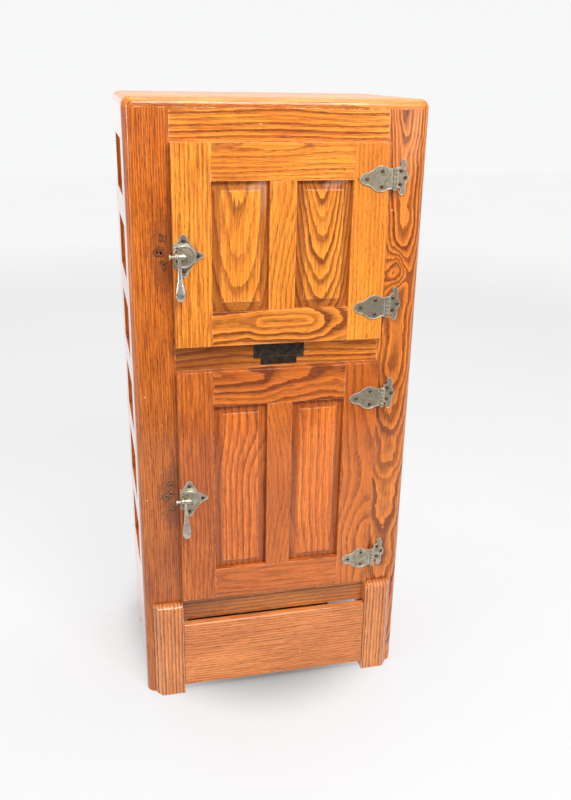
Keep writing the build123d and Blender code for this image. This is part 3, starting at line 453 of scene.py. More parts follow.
def board_colour(graph, coordinates, wood, centre, board):
    """One board's colour, rings, pores and fibre."""
    place = board_vector(graph, coordinates, centre, board.flat)
    figure = graph.group("Board figure", Vector=place, **{
        name: getattr(board, name.lower()) for name in FIGURE_INPUTS})
    rings, pores, fibre, blotch = (figure[key] for key in ("Rings", "Pores", "Fibre", "Blotch"))
    light = Vector(wood.light).lerp(Vector(wood.faded), board.faded)
    light = light * (1.05 * board.tone)
    light.y *= 1 - 0.16 * board.red
    light.z *= 1 - 0.16 * board.red
    dark = Vector(wood.dark).lerp(Vector(wood.faded) * 0.34, board.faded) * (0.6 + 0.4 * board.tone)
    streak = Vector((light.x * 0.52, light.y * 0.38, light.z * 0.34))
    threads = graph.times(graph.span(fibre, 0.40, 0.63), board.streaks)
    shaded = graph.mix(threads, rgba(light, 1.14), rgba(streak))
    shaded = graph.mix(graph.times(rings, min(1.0, 1.12 * board.contrast)), shaded, rgba(dark))
    shaded = graph.mix(graph.times(pores, board.pores), shaded, rgba(wood.pore))
    cloud = graph.span(blotch, 0.30, 0.72)
    tint = graph.mix(cloud, (1.06, 1.05, 1.03, 1), (0.80, 0.70, 0.62, 1))
    return graph.mix(1.0, shaded, tint, "MULTIPLY"), rings, pores, fibre


def lay_varnish(graph, coordinates, shader, colour, rings, pores, fibre, wood, gloss=0.40, edge=0.70,
                coat=0.6, coat_roughness=0.12):
    """Wear, grime, painted edge highlights and gloss that every oak board shares."""
    wear = graph.group("Handling", Vector=coordinates, Radius=0.0028, Scratches=0.35)
    # Paler edges: worn varnish, and also a painted highlight along each rounded edge.
    worn_and_highlit_edges = graph.mix(graph.times(wear["Edge"], edge), colour, (0.92, 0.58, 0.34, 1))
    nicked = graph.mix(graph.times(wear["Nicks"], 0.62), worn_and_highlit_edges, rgba(wood.grime))
    nicked = graph.mix(graph.times(wear["Flecks"], 0.7), nicked, (0.90, 0.82, 0.76, 1))
    dull = graph.span(wear["Smudge"], 0.35, 0.70, gloss - 0.07, gloss + 0.13)
    graph.feed(shader, Base_Color=nicked, Roughness=graph.times_plus(pores, 0.18, dull), IOR=1.47,
               Specular_IOR_Level=0.3, Coat_Roughness=coat_roughness,
               Coat_Weight=coat(graph, coordinates) if callable(coat) else coat)
    height = graph.times_plus(rings, -0.35, graph.times_plus(pores, -1.0, fibre))
    bumped(graph, shader, ((height, 0.35, 0.0006), (wear["Smudge"], 0.12, 0.002)))


def oak(name, wood, centre, board, extra=None, **varnish):
    """One board's varnished oak. extra(graph, coordinates, colour) may add marks of its own."""
    def build(graph, coordinates, shader):
        colour, *masks = board_colour(graph, coordinates, wood, centre, board)
        if extra:
            colour = extra(graph, coordinates, colour)
        lay_varnish(graph, coordinates, shader, colour, *masks, wood, **varnish)
    return finish_material(name, build)


def oak_pair(name, wood, axis, split, centres, boards, extra=None, **varnish):
    """Two boards in one piece, told apart by which side of split they lie on."""
    def build(graph, coordinates, shader):
        side = graph.math("GREATER_THAN", graph.split(coordinates)["XYZ".index(axis)], split)
        first = board_colour(graph, coordinates, wood, centres[0], boards[0])
        second = board_colour(graph, coordinates, wood, centres[1], boards[1])
        colour = graph.mix(side, first[0], second[0])
        masks = []
        for low, high in zip(first[1:], second[1:]):
            blend = graph.node("ShaderNodeMix", data_type="FLOAT")
            for socket, value in zip(blend.inputs[0:1] + blend.inputs[2:4], (side, low, high)):
                graph.set(socket, value)
            masks.append(blend.outputs[0])
        if extra:
            colour = extra(graph, coordinates, colour)
        lay_varnish(graph, coordinates, shader, colour, *masks, wood, **varnish)
    return finish_material(name, build)


# ---------------------------------------------------------------- mesh helpers
def deselect():
    if bpy.context.object and bpy.context.object.mode != "OBJECT":
        bpy.ops.object.mode_set(mode="OBJECT")
    bpy.ops.object.select_all(action="DESELECT")


def pick(piece):
    """Makes one object the only selected and active one."""
    deselect()
    piece.select_set(True)
    bpy.context.view_layer.objects.active = piece


def settle(piece):
    """Puts a finished object's place into its mesh."""
    pick(piece)
    bpy.ops.object.transform_apply(location=True, rotation=True, scale=True)


def apply_modifier(piece, kind, **settings):
    pick(piece)
    modifier = piece.modifiers.new(kind.title(), kind)
    for key, value in settings.items():
        setattr(modifier, key, value)
    bpy.ops.object.modifier_apply(modifier=modifier.name)


def body_of_node(node):
    for body, members in frame["record"]["behaviour"]["bodies"].items():
        if node in members:
            return body
    raise ValueError(f"no body holds {node}")


def raise_border(piece, surface, border, sink):
    """Sinks the faces that lie at y = surface, and leaves a rim of metal round them."""
    pick(piece)
    bpy.ops.object.mode_set(mode="EDIT")
    bpy.ops.mesh.select_all(action="DESELECT")
    bpy.ops.mesh.select_mode(type="FACE")
    bpy.ops.object.mode_set(mode="OBJECT")
    for face in piece.data.polygons:
        face.select = face.normal.y < -0.99 and abs(face.center.y - surface) < 0.05 * MM
    bpy.ops.object.mode_set(mode="EDIT")
    bpy.ops.mesh.inset(thickness=border, depth=0, use_boundary=True, use_even_offset=True)
    bpy.ops.mesh.inset(thickness=0.5 * sink, depth=-sink, use_boundary=True, use_even_offset=True)
    bpy.ops.object.mode_set(mode="OBJECT")


def begin_edit(piece):
    """Opens a piece for editing with all of it selected."""
    pick(piece)
    bpy.ops.object.mode_set(mode="EDIT")
    bpy.ops.mesh.select_all(action="SELECT")


def end_edit():
    """Merges doubles, turns the normals outward and closes the edit."""
    bpy.ops.mesh.select_all(action="SELECT")
    bpy.ops.mesh.remove_doubles(threshold=0.001 * MM)
    bpy.ops.mesh.normals_make_consistent(inside=False)
    bpy.ops.object.mode_set(mode="OBJECT")


def softened(node, width, segments=2, angle=38, rim=None):
    """A copy of a sharp-edged piece with its edges rounded over; it stands for that piece.

    rim is (surface, border, sink) for a face whose middle is sunk inside a raised border.
    """
    source = NODES[node]
    piece = bpy.data.objects.new(f"{node}_eased", source.data.copy())
    bpy.context.scene.collection.objects.link(piece)
    begin_edit(piece)
    bpy.ops.mesh.remove_doubles(threshold=0.01 * MM)
    bpy.ops.mesh.dissolve_limited(angle_limit=math.radians(0.5))
    bpy.ops.object.mode_set(mode="OBJECT")
    if rim:
        raise_border(piece, *rim)
    apply_modifier(piece, "BEVEL", width=width, segments=segments, limit_method="ANGLE",
                   angle_limit=math.radians(angle))
    pick(piece)
    bpy.ops.object.shade_smooth_by_angle(angle=math.radians(40))
    apply_modifier(piece, "WEIGHTED_NORMAL", keep_sharp=True, weight=80)
    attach(piece, body_of_node(node))
    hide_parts(node)
    return piece


def paint(piece, *materials):
    piece.data.materials.clear()
    for material in materials:
        piece.data.materials.append(material)


def centre_of(node):
    low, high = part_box(node)
    return (low + high) / 2


def oak_node(node, name, wood, board, eased=None, **varnish):
    """Lays one board's oak on a node, or on the softened copy of it."""
    paint(eased or NODES[node], oak(f"Oak {name}", wood, centre_of(node), board, **varnish))


# ---------------------------------------------------------------- operators
class ICEBOX_OT_shader_groups(bpy.types.Operator):
    """Builds the shader groups that the finishes share"""
    bl_idname = "icebox.shader_groups"
    bl_label = "Shader groups"

    def execute(self, context):
        make_figure_group()
        make_wear_group()
        make_spot_group()
        make_patina_group()
        return {"FINISHED"}


class ICEBOX_OT_case_oak(bpy.types.Operator):
    """Finishes the stiles, rails, sides, top, feet and baseboard in oak"""
    bl_idname = "icebox.case_oak"
    bl_label = "Case oak"

    def execute(self, context):
        wood = context.scene.icebox_wood
        strike_heights = [centre_of(f"{door}_latch_plate").z for door in DOORS]
        stile_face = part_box("front_stile_left")[0].y
        stile_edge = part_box("front_stile_left")[1].x

        def strike_scars_and_shade(graph, coordinates, colour):
            """Bare, splintered oak and grime where the latch strikes were screwed on, painted shade in the empty
            screw holes, and painted shade darkening the stile towards the floor.
            """
            height = graph.split(coordinates)[2]
            # Painted shade: the stile darkens towards the floor.
            painted_low_shade = graph.span(height, 1.15, 0.25, 0.0, 0.30)
            colour = graph.mix(painted_low_shade, colour, (0.17, 0.050, 0.018, 1))
            for index, level in enumerate(strike_heights):
                hand = graph.patch(coordinates, (stile_edge - 12 * MM, stile_face, level),
                                   (40 * MM, 20 * MM, 105 * MM), 1.1)
                colour = graph.mix(graph.times(hand, 0.50), colour, rgba(wood.grime, 2.0))
                holes = [(stile_edge + x * MM, stile_face, level + z * MM) for x, z in STRIKE_HOLES[index]]
                for spot in holes:
                    dirty = graph.patch(coordinates, spot, (10 * MM, 8 * MM, 12 * MM), 1.9)
                    colour = graph.mix(graph.times(dirty, 0.75), colour, rgba(wood.grime, 1.3))
                for spot in holes:
                    bare = graph.patch(coordinates, spot, (5.6 * MM, 5 * MM, (5.2 + 2 * index) * MM), 1.5)
                    colour = graph.mix(graph.times(bare, 0.55), colour, (0.62, 0.20, 0.06, 1))
                    # Painted shade: a near-black disc inside each empty screw hole.
                    painted_hole_shade = graph.patch(coordinates, spot, (4.3 * MM, 5 * MM, 4.3 * MM), 0.7)
                    colour = graph.mix(painted_hole_shade, colour, rgba(wood.grime, 0.2))
            return colour

        oak_node("front_stile_left", "left stile", wood, Board(
            2.3, heart=0.16, depth=0.02, wander=0.02, wave=0.0016, spacing=0.0048, band=0.1, stretch=0.8,
            contrast=0.50, streaks=0.85, tone=0.83, red=0.5, pores=1.0), extra=strike_scars_and_shade)
        knot_high = (-0.010, 0, 0.335)
        oak_node("front_stile_right", "right stile", wood, Board(
            7.9, heart=-0.004, depth=0.130, wander=0.020, wave=0.010, spacing=0.0135, band=0.60,
            stretch=2.4, taper=-0.150, steep=2.3, contrast=0.86, streaks=0.5, tone=0.95, faded=0.10,
            knot=knot_high, knot_lift=0.052, knot_size=0.020))
        rails_low, rails_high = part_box("front_rails")
        middle = centre_of("front_rails")
        mid_rail_split = (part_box("upper_jamb")[0].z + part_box("upper_jamb")[1].z) / 2
        top_centre = Vector((0.0, middle.y, rails_high.z - 30 * MM))
        low_centre = Vector((0.0, middle.y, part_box("lower_jamb")[1].z + 28 * MM))

        def rail_shade(graph, coordinates, colour):
            """Painted shade on the lower rails: darker along the bottom and towards the latch side."""
            x, _, height = graph.split(coordinates)
            # Painted shade towards the latch side of the rails below the upper door.
            latch_side_shade = graph.times(graph.span(x, 0.11, -0.16),
                                  graph.math("LESS_THAN", height, mid_rail_split + 30 * MM))
            painted_low_shade = graph.span(height, rails_low.z + 70 * MM, rails_low.z + 20 * MM, 0.0, 0.45)
            # The stronger of the two painted shades darkens the rail.
            stain = graph.math("MAXIMUM", painted_low_shade, graph.times(latch_side_shade, 0.60))
            return graph.mix(stain, colour, (0.15, 0.036, 0.012, 1))

        paint(NODES["front_rails"], oak_pair(
            "Oak rails", wood, "Z", mid_rail_split, (low_centre, top_centre),
            (Board(11.2, flat=True, heart=0.03, depth=0.03, wander=0.02, wave=0.003, spacing=0.0095,
                   band=0.2, stretch=1.2, contrast=0.75, tone=1.15, faded=0.05),
             Board(4.6, flat=True, heart=0.052, depth=0.012, wander=0.022, wave=0.0045, spacing=0.0110,
                   band=0.25, stretch=1.6, contrast=0.80, streaks=0.75, tone=1.16)), extra=rail_shade))
        top_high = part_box("top_board")[1]

        def end_gloss(graph, coordinates):
            """Thick, glossy varnish on the two ends of the top, thin elsewhere."""
            x = graph.math("ABSOLUTE", graph.split(coordinates)[0])
            return graph.span(x, top_high.x - 6 * MM, top_high.x - 1 * MM, 0.35, 1.0)

        oak_node("top_board", "top", wood, Board(
            5.1, flat="lying", heart=0.05, depth=0.02, wander=0.03, wave=0.003, spacing=0.008,
            stretch=0.8, contrast=0.62, tone=0.84), coat=end_gloss, coat_roughness=0.12)
        for index, side in enumerate(("left", "right")):
            glossy = dict(coat=1.0, coat_roughness=0.06)
            oak_node(f"{side}_side_stiles", f"{side} side stiles", wood, Board(
                13.0 + index, heart=0.2, depth=0.02, wave=0.002, spacing=0.006, stretch=0.8,
                contrast=0.6, tone=0.88), **glossy)
            oak_node(f"{side}_side_rails", f"{side} side rails", wood, Board(
                17.0 + index, flat=True, heart=0.1, depth=0.02, wave=0.003, spacing=0.007,
                contrast=0.6, tone=0.90), **glossy)
            oak_node(f"{side}_side_panels", f"{side} side panels", wood, Board(
                21.0 + index, heart=0.02, depth=0.03, wander=0.03, wave=0.006, spacing=0.0075,
                stretch=1.6, contrast=0.75, tone=0.86))
            foot = softened(f"foot_block_{side}", 2 * wood.edge_round, 3)
            oak_node(f"foot_block_{side}", f"{side} foot", wood, Board(
                27.0 + 3 * index, heart=0.09, depth=0.012, wander=0.01, wave=0.0015, spacing=0.0080,
                band=0.1, stretch=0.6, contrast=0.80, streaks=0.4, tone=1.22, faded=0.80),
                foot, gloss=0.45, edge=0.8)
        board = softened("baseboard", wood.edge_round, 2)
        oak_node("baseboard", "baseboard", wood, Board(
            31.5, flat=True, heart=0.13, depth=0.02, wander=0.02, wave=0.0035, spacing=0.0070,
            stretch=0.9, contrast=0.46, streaks=0.50, tone=1.20, faded=0.7), board, gloss=0.44)
        return {"FINISHED"}


class ICEBOX_OT_door_oak(bpy.types.Operator):
    """Finishes the stiles, rails, muntins and raised panels of both doors"""
    bl_idname = "icebox.door_oak"
    bl_label = "Door oak"

    def execute(self, context):
        wood = context.scene.icebox_wood
        looks = {
            "upper": dict(tone=1.10, faded=0.0, panel_tone=1.14),
            "lower": dict(tone=0.75, faded=0.06, panel_tone=0.98),
        }
        for index, door in enumerate(DOORS):
            look = looks[door]
            shared = dict(tone=look["tone"], faded=look["faded"], red=float(index))
            eased = {part: softened(f"{door}_door_{part}", wood.edge_round, 2)
                     for part in ("stiles", "rails", "muntin", "panels")}
            low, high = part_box(f"{door}_door_stiles")
            middle = (low + high) / 2
            side_x = high.x - 37 * MM
            paint(eased["stiles"], oak_pair(
                f"Oak {door} door stiles", wood, "X", 0.0,
                (Vector((-side_x, middle.y, middle.z)), Vector((side_x, middle.y, middle.z))),
                (Board(41.3 + index, heart=0.10, depth=0.02, wander=0.03, wave=0.002, spacing=0.0085,
                       stretch=1.1, contrast=0.50, streaks=0.80, **shared),
                 Board(46.1 + 5 * index, heart=0.08 - 0.045 * index, depth=0.022 + 0.04 * index,
                       wander=0.03, wave=0.002 + 0.003 * index, spacing=0.0085 + 0.002 * index,
                       stretch=1.1 + 0.5 * index, taper=0.02 * index, contrast=0.34 + 0.24 * index,
                       streaks=0.35, **shared))))
            bold = dict(wander=0.036, wave=0.010, spacing=0.0135, band=0.45, stretch=2.0, contrast=0.86,
                        streaks=0.35)
            calm = dict(wander=0.020, wave=0.003, spacing=0.0085, stretch=1.1, contrast=0.50,
                        streaks=0.60)
            low_look, high_look = (bold, calm) if door == "upper" else (calm, bold)
            rail_centres = (Vector((0, middle.y, low.z + 35 * MM)), Vector((0, middle.y, high.z - 35 * MM)))
            paint(eased["rails"], oak_pair(
                f"Oak {door} door rails", wood, "Z", middle.z, rail_centres,
                (Board(52.4 + index, flat=True, heart=0.01, depth=0.02, **low_look, **shared),
                 Board(57.9 + index, flat=True, heart=0.03, depth=0.02, **high_look, **shared))))
            oak_node(f"{door}_door_muntin", f"{door} muntin", wood, Board(
                61.2 + index, heart=0.07, depth=0.02, wander=0.05, wave=0.003, spacing=0.0095,
                stretch=1.4, contrast=0.50 - 0.2 * index, streaks=0.5, **shared), eased["muntin"])
            panel_x = 84 * MM
            rim_low, rim_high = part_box(f"{door}_door_muntin")
            middle_z, half_high = (rim_low.z + rim_high.z) / 2, (rim_high.z - rim_low.z) / 2 - 8 * MM

            def bevel_shade_and_stain(graph, coordinates, colour, middle_z=middle_z, half_high=half_high):
                """Painted shade, with stain gathered there, on the sunken bevel round each raised field."""
                x, _, z = graph.split(coordinates)
                off_z = graph.math("ABSOLUTE", graph.math("SUBTRACT", z, middle_z))
                past_z = graph.span(off_z, half_high - 21 * MM, half_high - 14 * MM)
                for centre_x in (-panel_x, panel_x):
                    off_x = graph.math("ABSOLUTE", graph.math("SUBTRACT", x, centre_x))
                    inside = graph.math("LESS_THAN", off_x, 66 * MM)
                    rim = graph.times(
                        graph.math("MAXIMUM", graph.span(off_x, 36 * MM, 42 * MM), past_z), inside)
                    # Painted shade and stain: the bevel round each field darkened.
                    colour = graph.mix(graph.times(rim, 0.50), colour, (0.15, 0.030, 0.007, 1))
                return colour

            shared["tone"] = look["panel_tone"]
            paint(eased["panels"], oak_pair(
                f"Oak {door} panels", wood, "X", 0.0,
                (Vector((-panel_x, middle.y, middle.z)), Vector((panel_x, middle.y, middle.z))),
                (Board(66.7 + 2 * index, heart=-0.004 + 0.07 * index, depth=0.042,
                       wander=0.008 + 0.02 * index, wave=0.0035, spacing=0.0115,
                       taper=-0.20 * (1 - index), contrast=0.72, streaks=0.62, **shared),
                 Board(72.3 + 4 * index, heart=-0.006 - 0.08 * index, depth=0.060, steep=1.7 - 0.7 * index,
                       wander=0.007 + 0.02 * index,
                       wave=0.0060 - 0.003 * index, spacing=0.0118, band=0.25 - 0.25 * index,
                       stretch=2.2 - 0.9 * index, taper=-0.34 * (1 - index),
                       contrast=0.84 - 0.26 * index, streaks=0.5 + 0.14 * index, **shared)),
                extra=bevel_shade_and_stain))
        return {"FINISHED"}


class ICEBOX_OT_inside(bpy.types.Operator):
    """Finishes the pine, zinc, felt and filling inside the case and doors"""
    bl_idname = "icebox.inside"
    bl_label = "Inside and back"

    def execute(self, context):
        wood = context.scene.icebox_wood
        metal = context.scene.icebox_metal

        def pine_nodes(flat, seed, board_width=0.093):
            def build(graph, coordinates, shader):
                turned = board_vector(graph, coordinates, (0, 0, 0), flat)
                x = graph.split(coordinates)[0]
                plank = graph.math("FLOOR", graph.math("DIVIDE", x, board_width))
                seeds = graph.times_plus(plank, 3.7, seed)
                figure = graph.group("Board figure", Vector=turned, Seed=seeds, Heart=0.01, Depth=0.02,
                                     Wander=0.03, Spacing=0.009, Stretch=1.0)
                colour = graph.mix(graph.times(figure["Rings"], 0.55),
                                   rgba(wood.pine), rgba(wood.pine, 0.52))
                colour = graph.mix(graph.span(figure["Blotch"], 0.35, 0.75), colour,
                                   rgba(wood.pine, 0.7))
                wear = graph.group("Handling", Vector=coordinates, Radius=0.002, Scratches=0.6)
                colour = graph.mix(graph.times(wear["Nicks"], 0.5), colour, rgba(wood.grime))
                rough = graph.span(wear["Smudge"], 0.3, 0.7, 0.55, 0.75)
                graph.feed(shader, Base_Color=colour, Roughness=rough)
                bumped(graph, shader, ((figure["Fibre"], 0.3, 0.0006),))
            return build

        upright = finish_material("Pine upright", pine_nodes(False, 81.0))
        level = finish_material("Pine level", pine_nodes(True, 87.0))
        for node in PINE_NODES:
            paint(NODES[node], upright if node in ("back_boards", "inner_case_boards") else level)

        def galvanised(graph, coordinates, shader):
            tone = graph.span(graph.cells(coordinates, 60.0, "Color"), 0.0, 1.0, smooth=False)
            colour = graph.mix(tone, rgba(metal.zinc, 0.86), rgba(metal.zinc, 1.1))
            stain = graph.group("Patina", Vector=coordinates, Film=0.4)
            colour = graph.mix(stain["Film"], colour, (0.36, 0.35, 0.31, 1))
            rough = graph.span(tone, 0, 1, 0.36, 0.56, smooth=False)
            graph.feed(shader, Base_Color=colour, Metallic=0.85, Roughness=rough)
            bumped(graph, shader, ((graph.noise(coordinates, scale=9.0), 0.25, 0.004),))

        zinc = finish_material("Galvanised sheet", galvanised)
        for node in STEEL_NODES:
            paint(NODES[node], zinc)

        def felted(graph, coordinates, shader):
            fuzz = graph.noise(coordinates, scale=1900.0, detail=3.0)
            colour = graph.mix(graph.span(fuzz, 0.3, 0.7), (0.19, 0.165, 0.13, 1), (0.34, 0.30, 0.24, 1))
            rough = graph.span(fuzz, 0.3, 0.7, 0.85, 1.0)
            graph.feed(shader, Base_Color=colour, Roughness=rough, Sheen_Weight=0.4)
            bumped(graph, shader, ((fuzz, 0.6, 0.0008),))

        felt = finish_material("Felt", felted)

        def packed(graph, coordinates, shader):
            flakes = graph.noise(coordinates, scale=240.0, detail=5.0, roughness=0.7)
            colour = graph.mix(graph.span(flakes, 0.35, 0.65), (0.22, 0.15, 0.08, 1), (0.42, 0.31, 0.18, 1))
            graph.feed(shader, Base_Color=colour, Roughness=graph.span(flakes, 0.3, 0.7, 0.85, 1.0))
            bumped(graph, shader, ((flakes, 0.8, 0.003),))

        filling = finish_material("Packed filling", packed)
        paint(NODES["wall_insulation"], filling)
        for door in DOORS:
            paint(NODES[f"{door}_door_insulation"], filling)
            paint(NODES[f"{door}_door_gasket"], felt)
        return {"FINISHED"}


def plated(name, metal, film, roughness, tint=None, dirt=0.6, rubbed_edge_highlight=0.85, hole_shade_and_marks=()):
    """Old nickel plate: film between bright edges that are a painted highlight as well as worn plate, with dark
    pits.

    The last argument gives (place, radius) of small dark spots: painted shade inside holes and dents, and dark
    marks.
    """
    def build(graph, coordinates, shader):
        patina = graph.group("Patina", Vector=coordinates, Film=film, Radius=0.0019)
        base = rgba(tint or metal.nickel)
        colour = graph.mix(patina["Film"], base, rgba(metal.tarnish))
        # Painted highlight: near-white colour along the rounded edges, standing also for worn plate.
        colour = graph.mix(graph.times(patina["Edge"], rubbed_edge_highlight), colour, (0.95, 0.93, 0.86, 1))
        colour = graph.mix(graph.times(patina["Pits"], dirt), colour, (0.05, 0.035, 0.022, 1))
        # Painted shade: near-black spots for the insides of small holes and dents, and dark marks.
        for place, radius in hole_shade_and_marks:
            dark = graph.patch(coordinates, place, (radius, 3 * radius, radius), 0.6)
            colour = graph.mix(dark, colour, (0.018, 0.012, 0.008, 1))
        plating = graph.span(patina["Film"], 0.0, 1.0, 0.88, 0.55)
        plating = graph.times_plus(patina["Edge"], -0.5 * rubbed_edge_highlight, plating, clamp=True)
        rough = graph.span(patina["Cloud"], 0.3, 0.7, roughness - 0.08, roughness + 0.14)
        graph.feed(shader, Base_Color=colour, Metallic=plating, Roughness=rough)
        bumped(graph, shader, ((patina["Cloud"], 0.15, 0.0008), (patina["Pits"], 0.35, 0.0003)))
    return finish_material(name, build)


class ICEBOX_OT_hinges(bpy.types.Operator):
    """Rounds and finishes the hinge leaves, pins and screws"""
    bl_idname = "icebox.hinges"
    bl_label = "Hinges"

    def execute(self, context):
        metal = context.scene.icebox_metal
        nickel = plated("Nickel hinge plate", metal, 0.75, 0.36)
        for node in ("hinge_frame_leaves", "upper_door_hinge_leaves", "lower_door_hinge_leaves"):
            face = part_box("front_rails")[0].y if "frame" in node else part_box("upper_door_stiles")[0].y
            surface = face - LEAF_THICKNESS
            paint(softened(node, metal.edge_round, 2, rim=(surface, 1.4 * MM, RIM_SUNK)), nickel)
        paint(NODES["hinge_pins"], nickel)
        paint(NODES["baseboard_pins"], nickel)
        screw = plated("Screw heads", metal, 0.35, 0.36, tint=tuple(metal.screw), dirt=0.5, rubbed_edge_highlight=0.12)
        for node in ("hinge_frame_screws", "upper_door_screws", "lower_door_screws", "nameplate_pins"):
            paint(NODES[node], screw)
        return {"FINISHED"}


def extruded_bar(name, stations, sides=12):
    """A closed bar through (centre, width, thickness) stations that run down -Z, smoothed."""
    deselect()
    (first, width, thickness), rest = stations[0], stations[1:]
    bpy.ops.mesh.primitive_circle_add(vertices=sides, radius=0.5, fill_type="NGON", location=first)
    piece = bpy.context.object
    piece.name = name
    piece.scale = (width, thickness, 1)
    settle(piece)
    begin_edit(piece)
    last, last_width, last_thickness = Vector(first), width, thickness
    for centre, width, thickness in rest:
        step = Vector(centre) - last
        bpy.ops.mesh.extrude_region_move(TRANSFORM_OT_translate={"value": tuple(step)})
        bpy.ops.transform.resize(
            value=(width / last_width, thickness / last_thickness, 1), center_override=centre)
        last, last_width, last_thickness = Vector(centre), width, thickness
    end_edit()
    apply_modifier(piece, "SUBSURF", levels=2, render_levels=2)
    pick(piece)
    bpy.ops.object.shade_smooth()
    return piece


def joined(name, pieces):
    deselect()
    for piece in pieces:
        piece.select_set(True)
    bpy.context.view_layer.objects.active = pieces[0]
    bpy.ops.object.join()
    pieces[0].name = name
    return pieces[0]


def turned(name, start, axis, profile, sides):
    """A turned piece along a main axis from start, through (distance, radius) stations."""
    deselect()
    axis = Vector(axis)
    tilt = Vector((0, 0, 1)).rotation_difference(axis).to_euler()
    bpy.ops.mesh.primitive_circle_add(
        vertices=sides, radius=profile[0][1], fill_type="NGON", location=start, rotation=tilt)
    piece = bpy.context.object
    piece.name = name
    settle(piece)
    begin_edit(piece)
    distance, radius = profile[0]
    for far, wide in profile[1:]:
        bpy.ops.mesh.extrude_region_move(TRANSFORM_OT_translate={"value": tuple(axis * (far - distance))})
        if wide != radius:
            across = [1 if part else wide / radius for part in axis]
            bpy.ops.transform.resize(value=across, center_override=start)
        distance, radius = far, wide
    end_edit()
    return piece


def turned_bar(name, x_start, profile, y, z):
    """A bar turned along +X with small rounded edges."""
    piece = turned(name, (x_start, y, z), (1, 0, 0), profile, 32)
    apply_modifier(piece, "BEVEL", width=0.35 * MM, segments=2, limit_method="ANGLE",
                   angle_limit=math.radians(35))
    pick(piece)
    bpy.ops.object.shade_smooth_by_angle(angle=math.radians(40))
    return piece


class ICEBOX_OT_latches(bpy.types.Operator):
    """Models the latch levers and finishes the latch plates"""
    bl_idname = "icebox.latches"
    bl_label = "Latches"

    def boss_cap(self, door, door_face):
        """The domed cap with a ringed edge on the round boss of a latch plate."""
        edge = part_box(f"{door}_latch_plate")[0].x
        centre = Vector((edge + LATCH_CENTRE_INSET, door_face - PLATE_THICKNESS - BOSS_HEIGHT + CAP_SUNK,
                         centre_of(f"{door}_latch_plate").z))
        steps = ((0, 21.6), (1.0, 21.6), (1.5, 21.0), (1.5, 19.6), (0.9, 18.9), (0.9, 17.6),
                 (1.5, 15.0), (2.2, 10.0), (2.6, 5.0))
        profile = [(height * MM, radius * MM) for height, radius in steps]
        cap = turned(f"{door}_latch_cap", centre, (0, -1, 0), profile, 64)
        begin_edit(cap)
        bpy.ops.mesh.bisect(plane_co=(edge + 0.1 * MM, 0, 0), plane_no=(1, 0, 0), use_fill=True,
                            clear_inner=True)
        end_edit()
        pick(cap)
        bpy.ops.object.shade_smooth_by_angle(angle=math.radians(50))
        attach(cap, f"{door}_door")
        return cap

    def execute(self, context):
        metal = context.scene.icebox_metal
        lever_finishes = {
            "upper": plated("Polished lever", metal, 0.3, 0.27, tint=(0.70, 0.68, 0.62)),
            "lower": plated("Dull lever", metal, 0.6, 0.40, tint=(0.66, 0.62, 0.53)),
        }
        for door in DOORS:
            door_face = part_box(f"{door}_door_stiles")[0].y
            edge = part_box(f"{door}_latch_plate")[0].x
            level = centre_of(f"{door}_latch_plate").z
            # Places of the painted dark spots on each latch plate: shade in holes and dents, and dark marks.
            marks = ((23.4, -2.5, 2.0), (24.6, -9.0, 2.2), (7.0, 17.0, 2.2), (5.0, 10.0, 2.0),
                     (14.0, 14.0, 1.6), (5.0, -8.0, 2.4), (15.5, -8.0, 2.0))
            hole_shade_and_marks = [((edge + x * MM, door_face - 8 * MM, level + z * MM), radius * MM)
                     for x, z, radius in marks]
            plate_finish = plated(f"Nickel {door} latch plate", metal, 0.65, 0.38, hole_shade_and_marks=hole_shade_and_marks)
            rim = (door_face - PLATE_THICKNESS, 1.3 * MM, RIM_SUNK)
            paint(softened(f"{door}_latch_plate", metal.edge_round, 2, rim=rim), plate_finish)
            paint(self.boss_cap(door, door_face), plate_finish)
            low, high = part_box(f"{door}_latch_lever")
            pivot = next(j for j in frame["joints"] if j["name"] == f"{door}_lever_lift")["pos_m"]
            bar_x, bar_y, bar_z = pivot
            drop = bar_z - low.z
            shape = ((1 * MM / drop, 0.0, 6.6, 6.0), (8 * MM / drop, 0.0, 6.6, 5.6), (0.28, 0.4, 7.0, 5.0),
                     (0.48, 2.6, 9.4, 4.6), (0.66, 5.6, 15.4, 4.0), (0.80, 8.0, 19.0, 3.6),
                     (0.90, 8.4, 18.2, 3.4), (0.965, 7.6, 12.0, 3.0), (0.99, 6.8, 5.0, 2.2))
            stations = [((bar_x, bar_y - out * MM, bar_z - share * drop), width * MM, thickness * MM)
                        for share, out, width, thickness in shape]
            handle = extruded_bar(f"{door}_lever_handle", stations)
            reach = high.x - low.x
            bar = turned_bar(f"{door}_lever_bar", low.x, (
                (0, 4.6 * MM), (0.4 * MM, 5.5 * MM), (2.5 * MM, 5.5 * MM), (2.6 * MM, BAR_RADIUS),
                (reach, BAR_RADIUS)), bar_y, bar_z)
            hub = turned_bar(f"{door}_lever_hub", bar_x - HALF_HUB,
                             ((0, HUB_RADIUS), (2 * HALF_HUB, HUB_RADIUS)), bar_y, bar_z)
            paint(handle, lever_finishes[door])
            paint(bar, plate_finish)
            paint(hub, plate_finish)
            lever = joined(f"{door}_lever", [handle, bar, hub])
            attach(lever, f"{door}_lever")
            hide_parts(f"{door}_latch_lever")
        return {"FINISHED"}


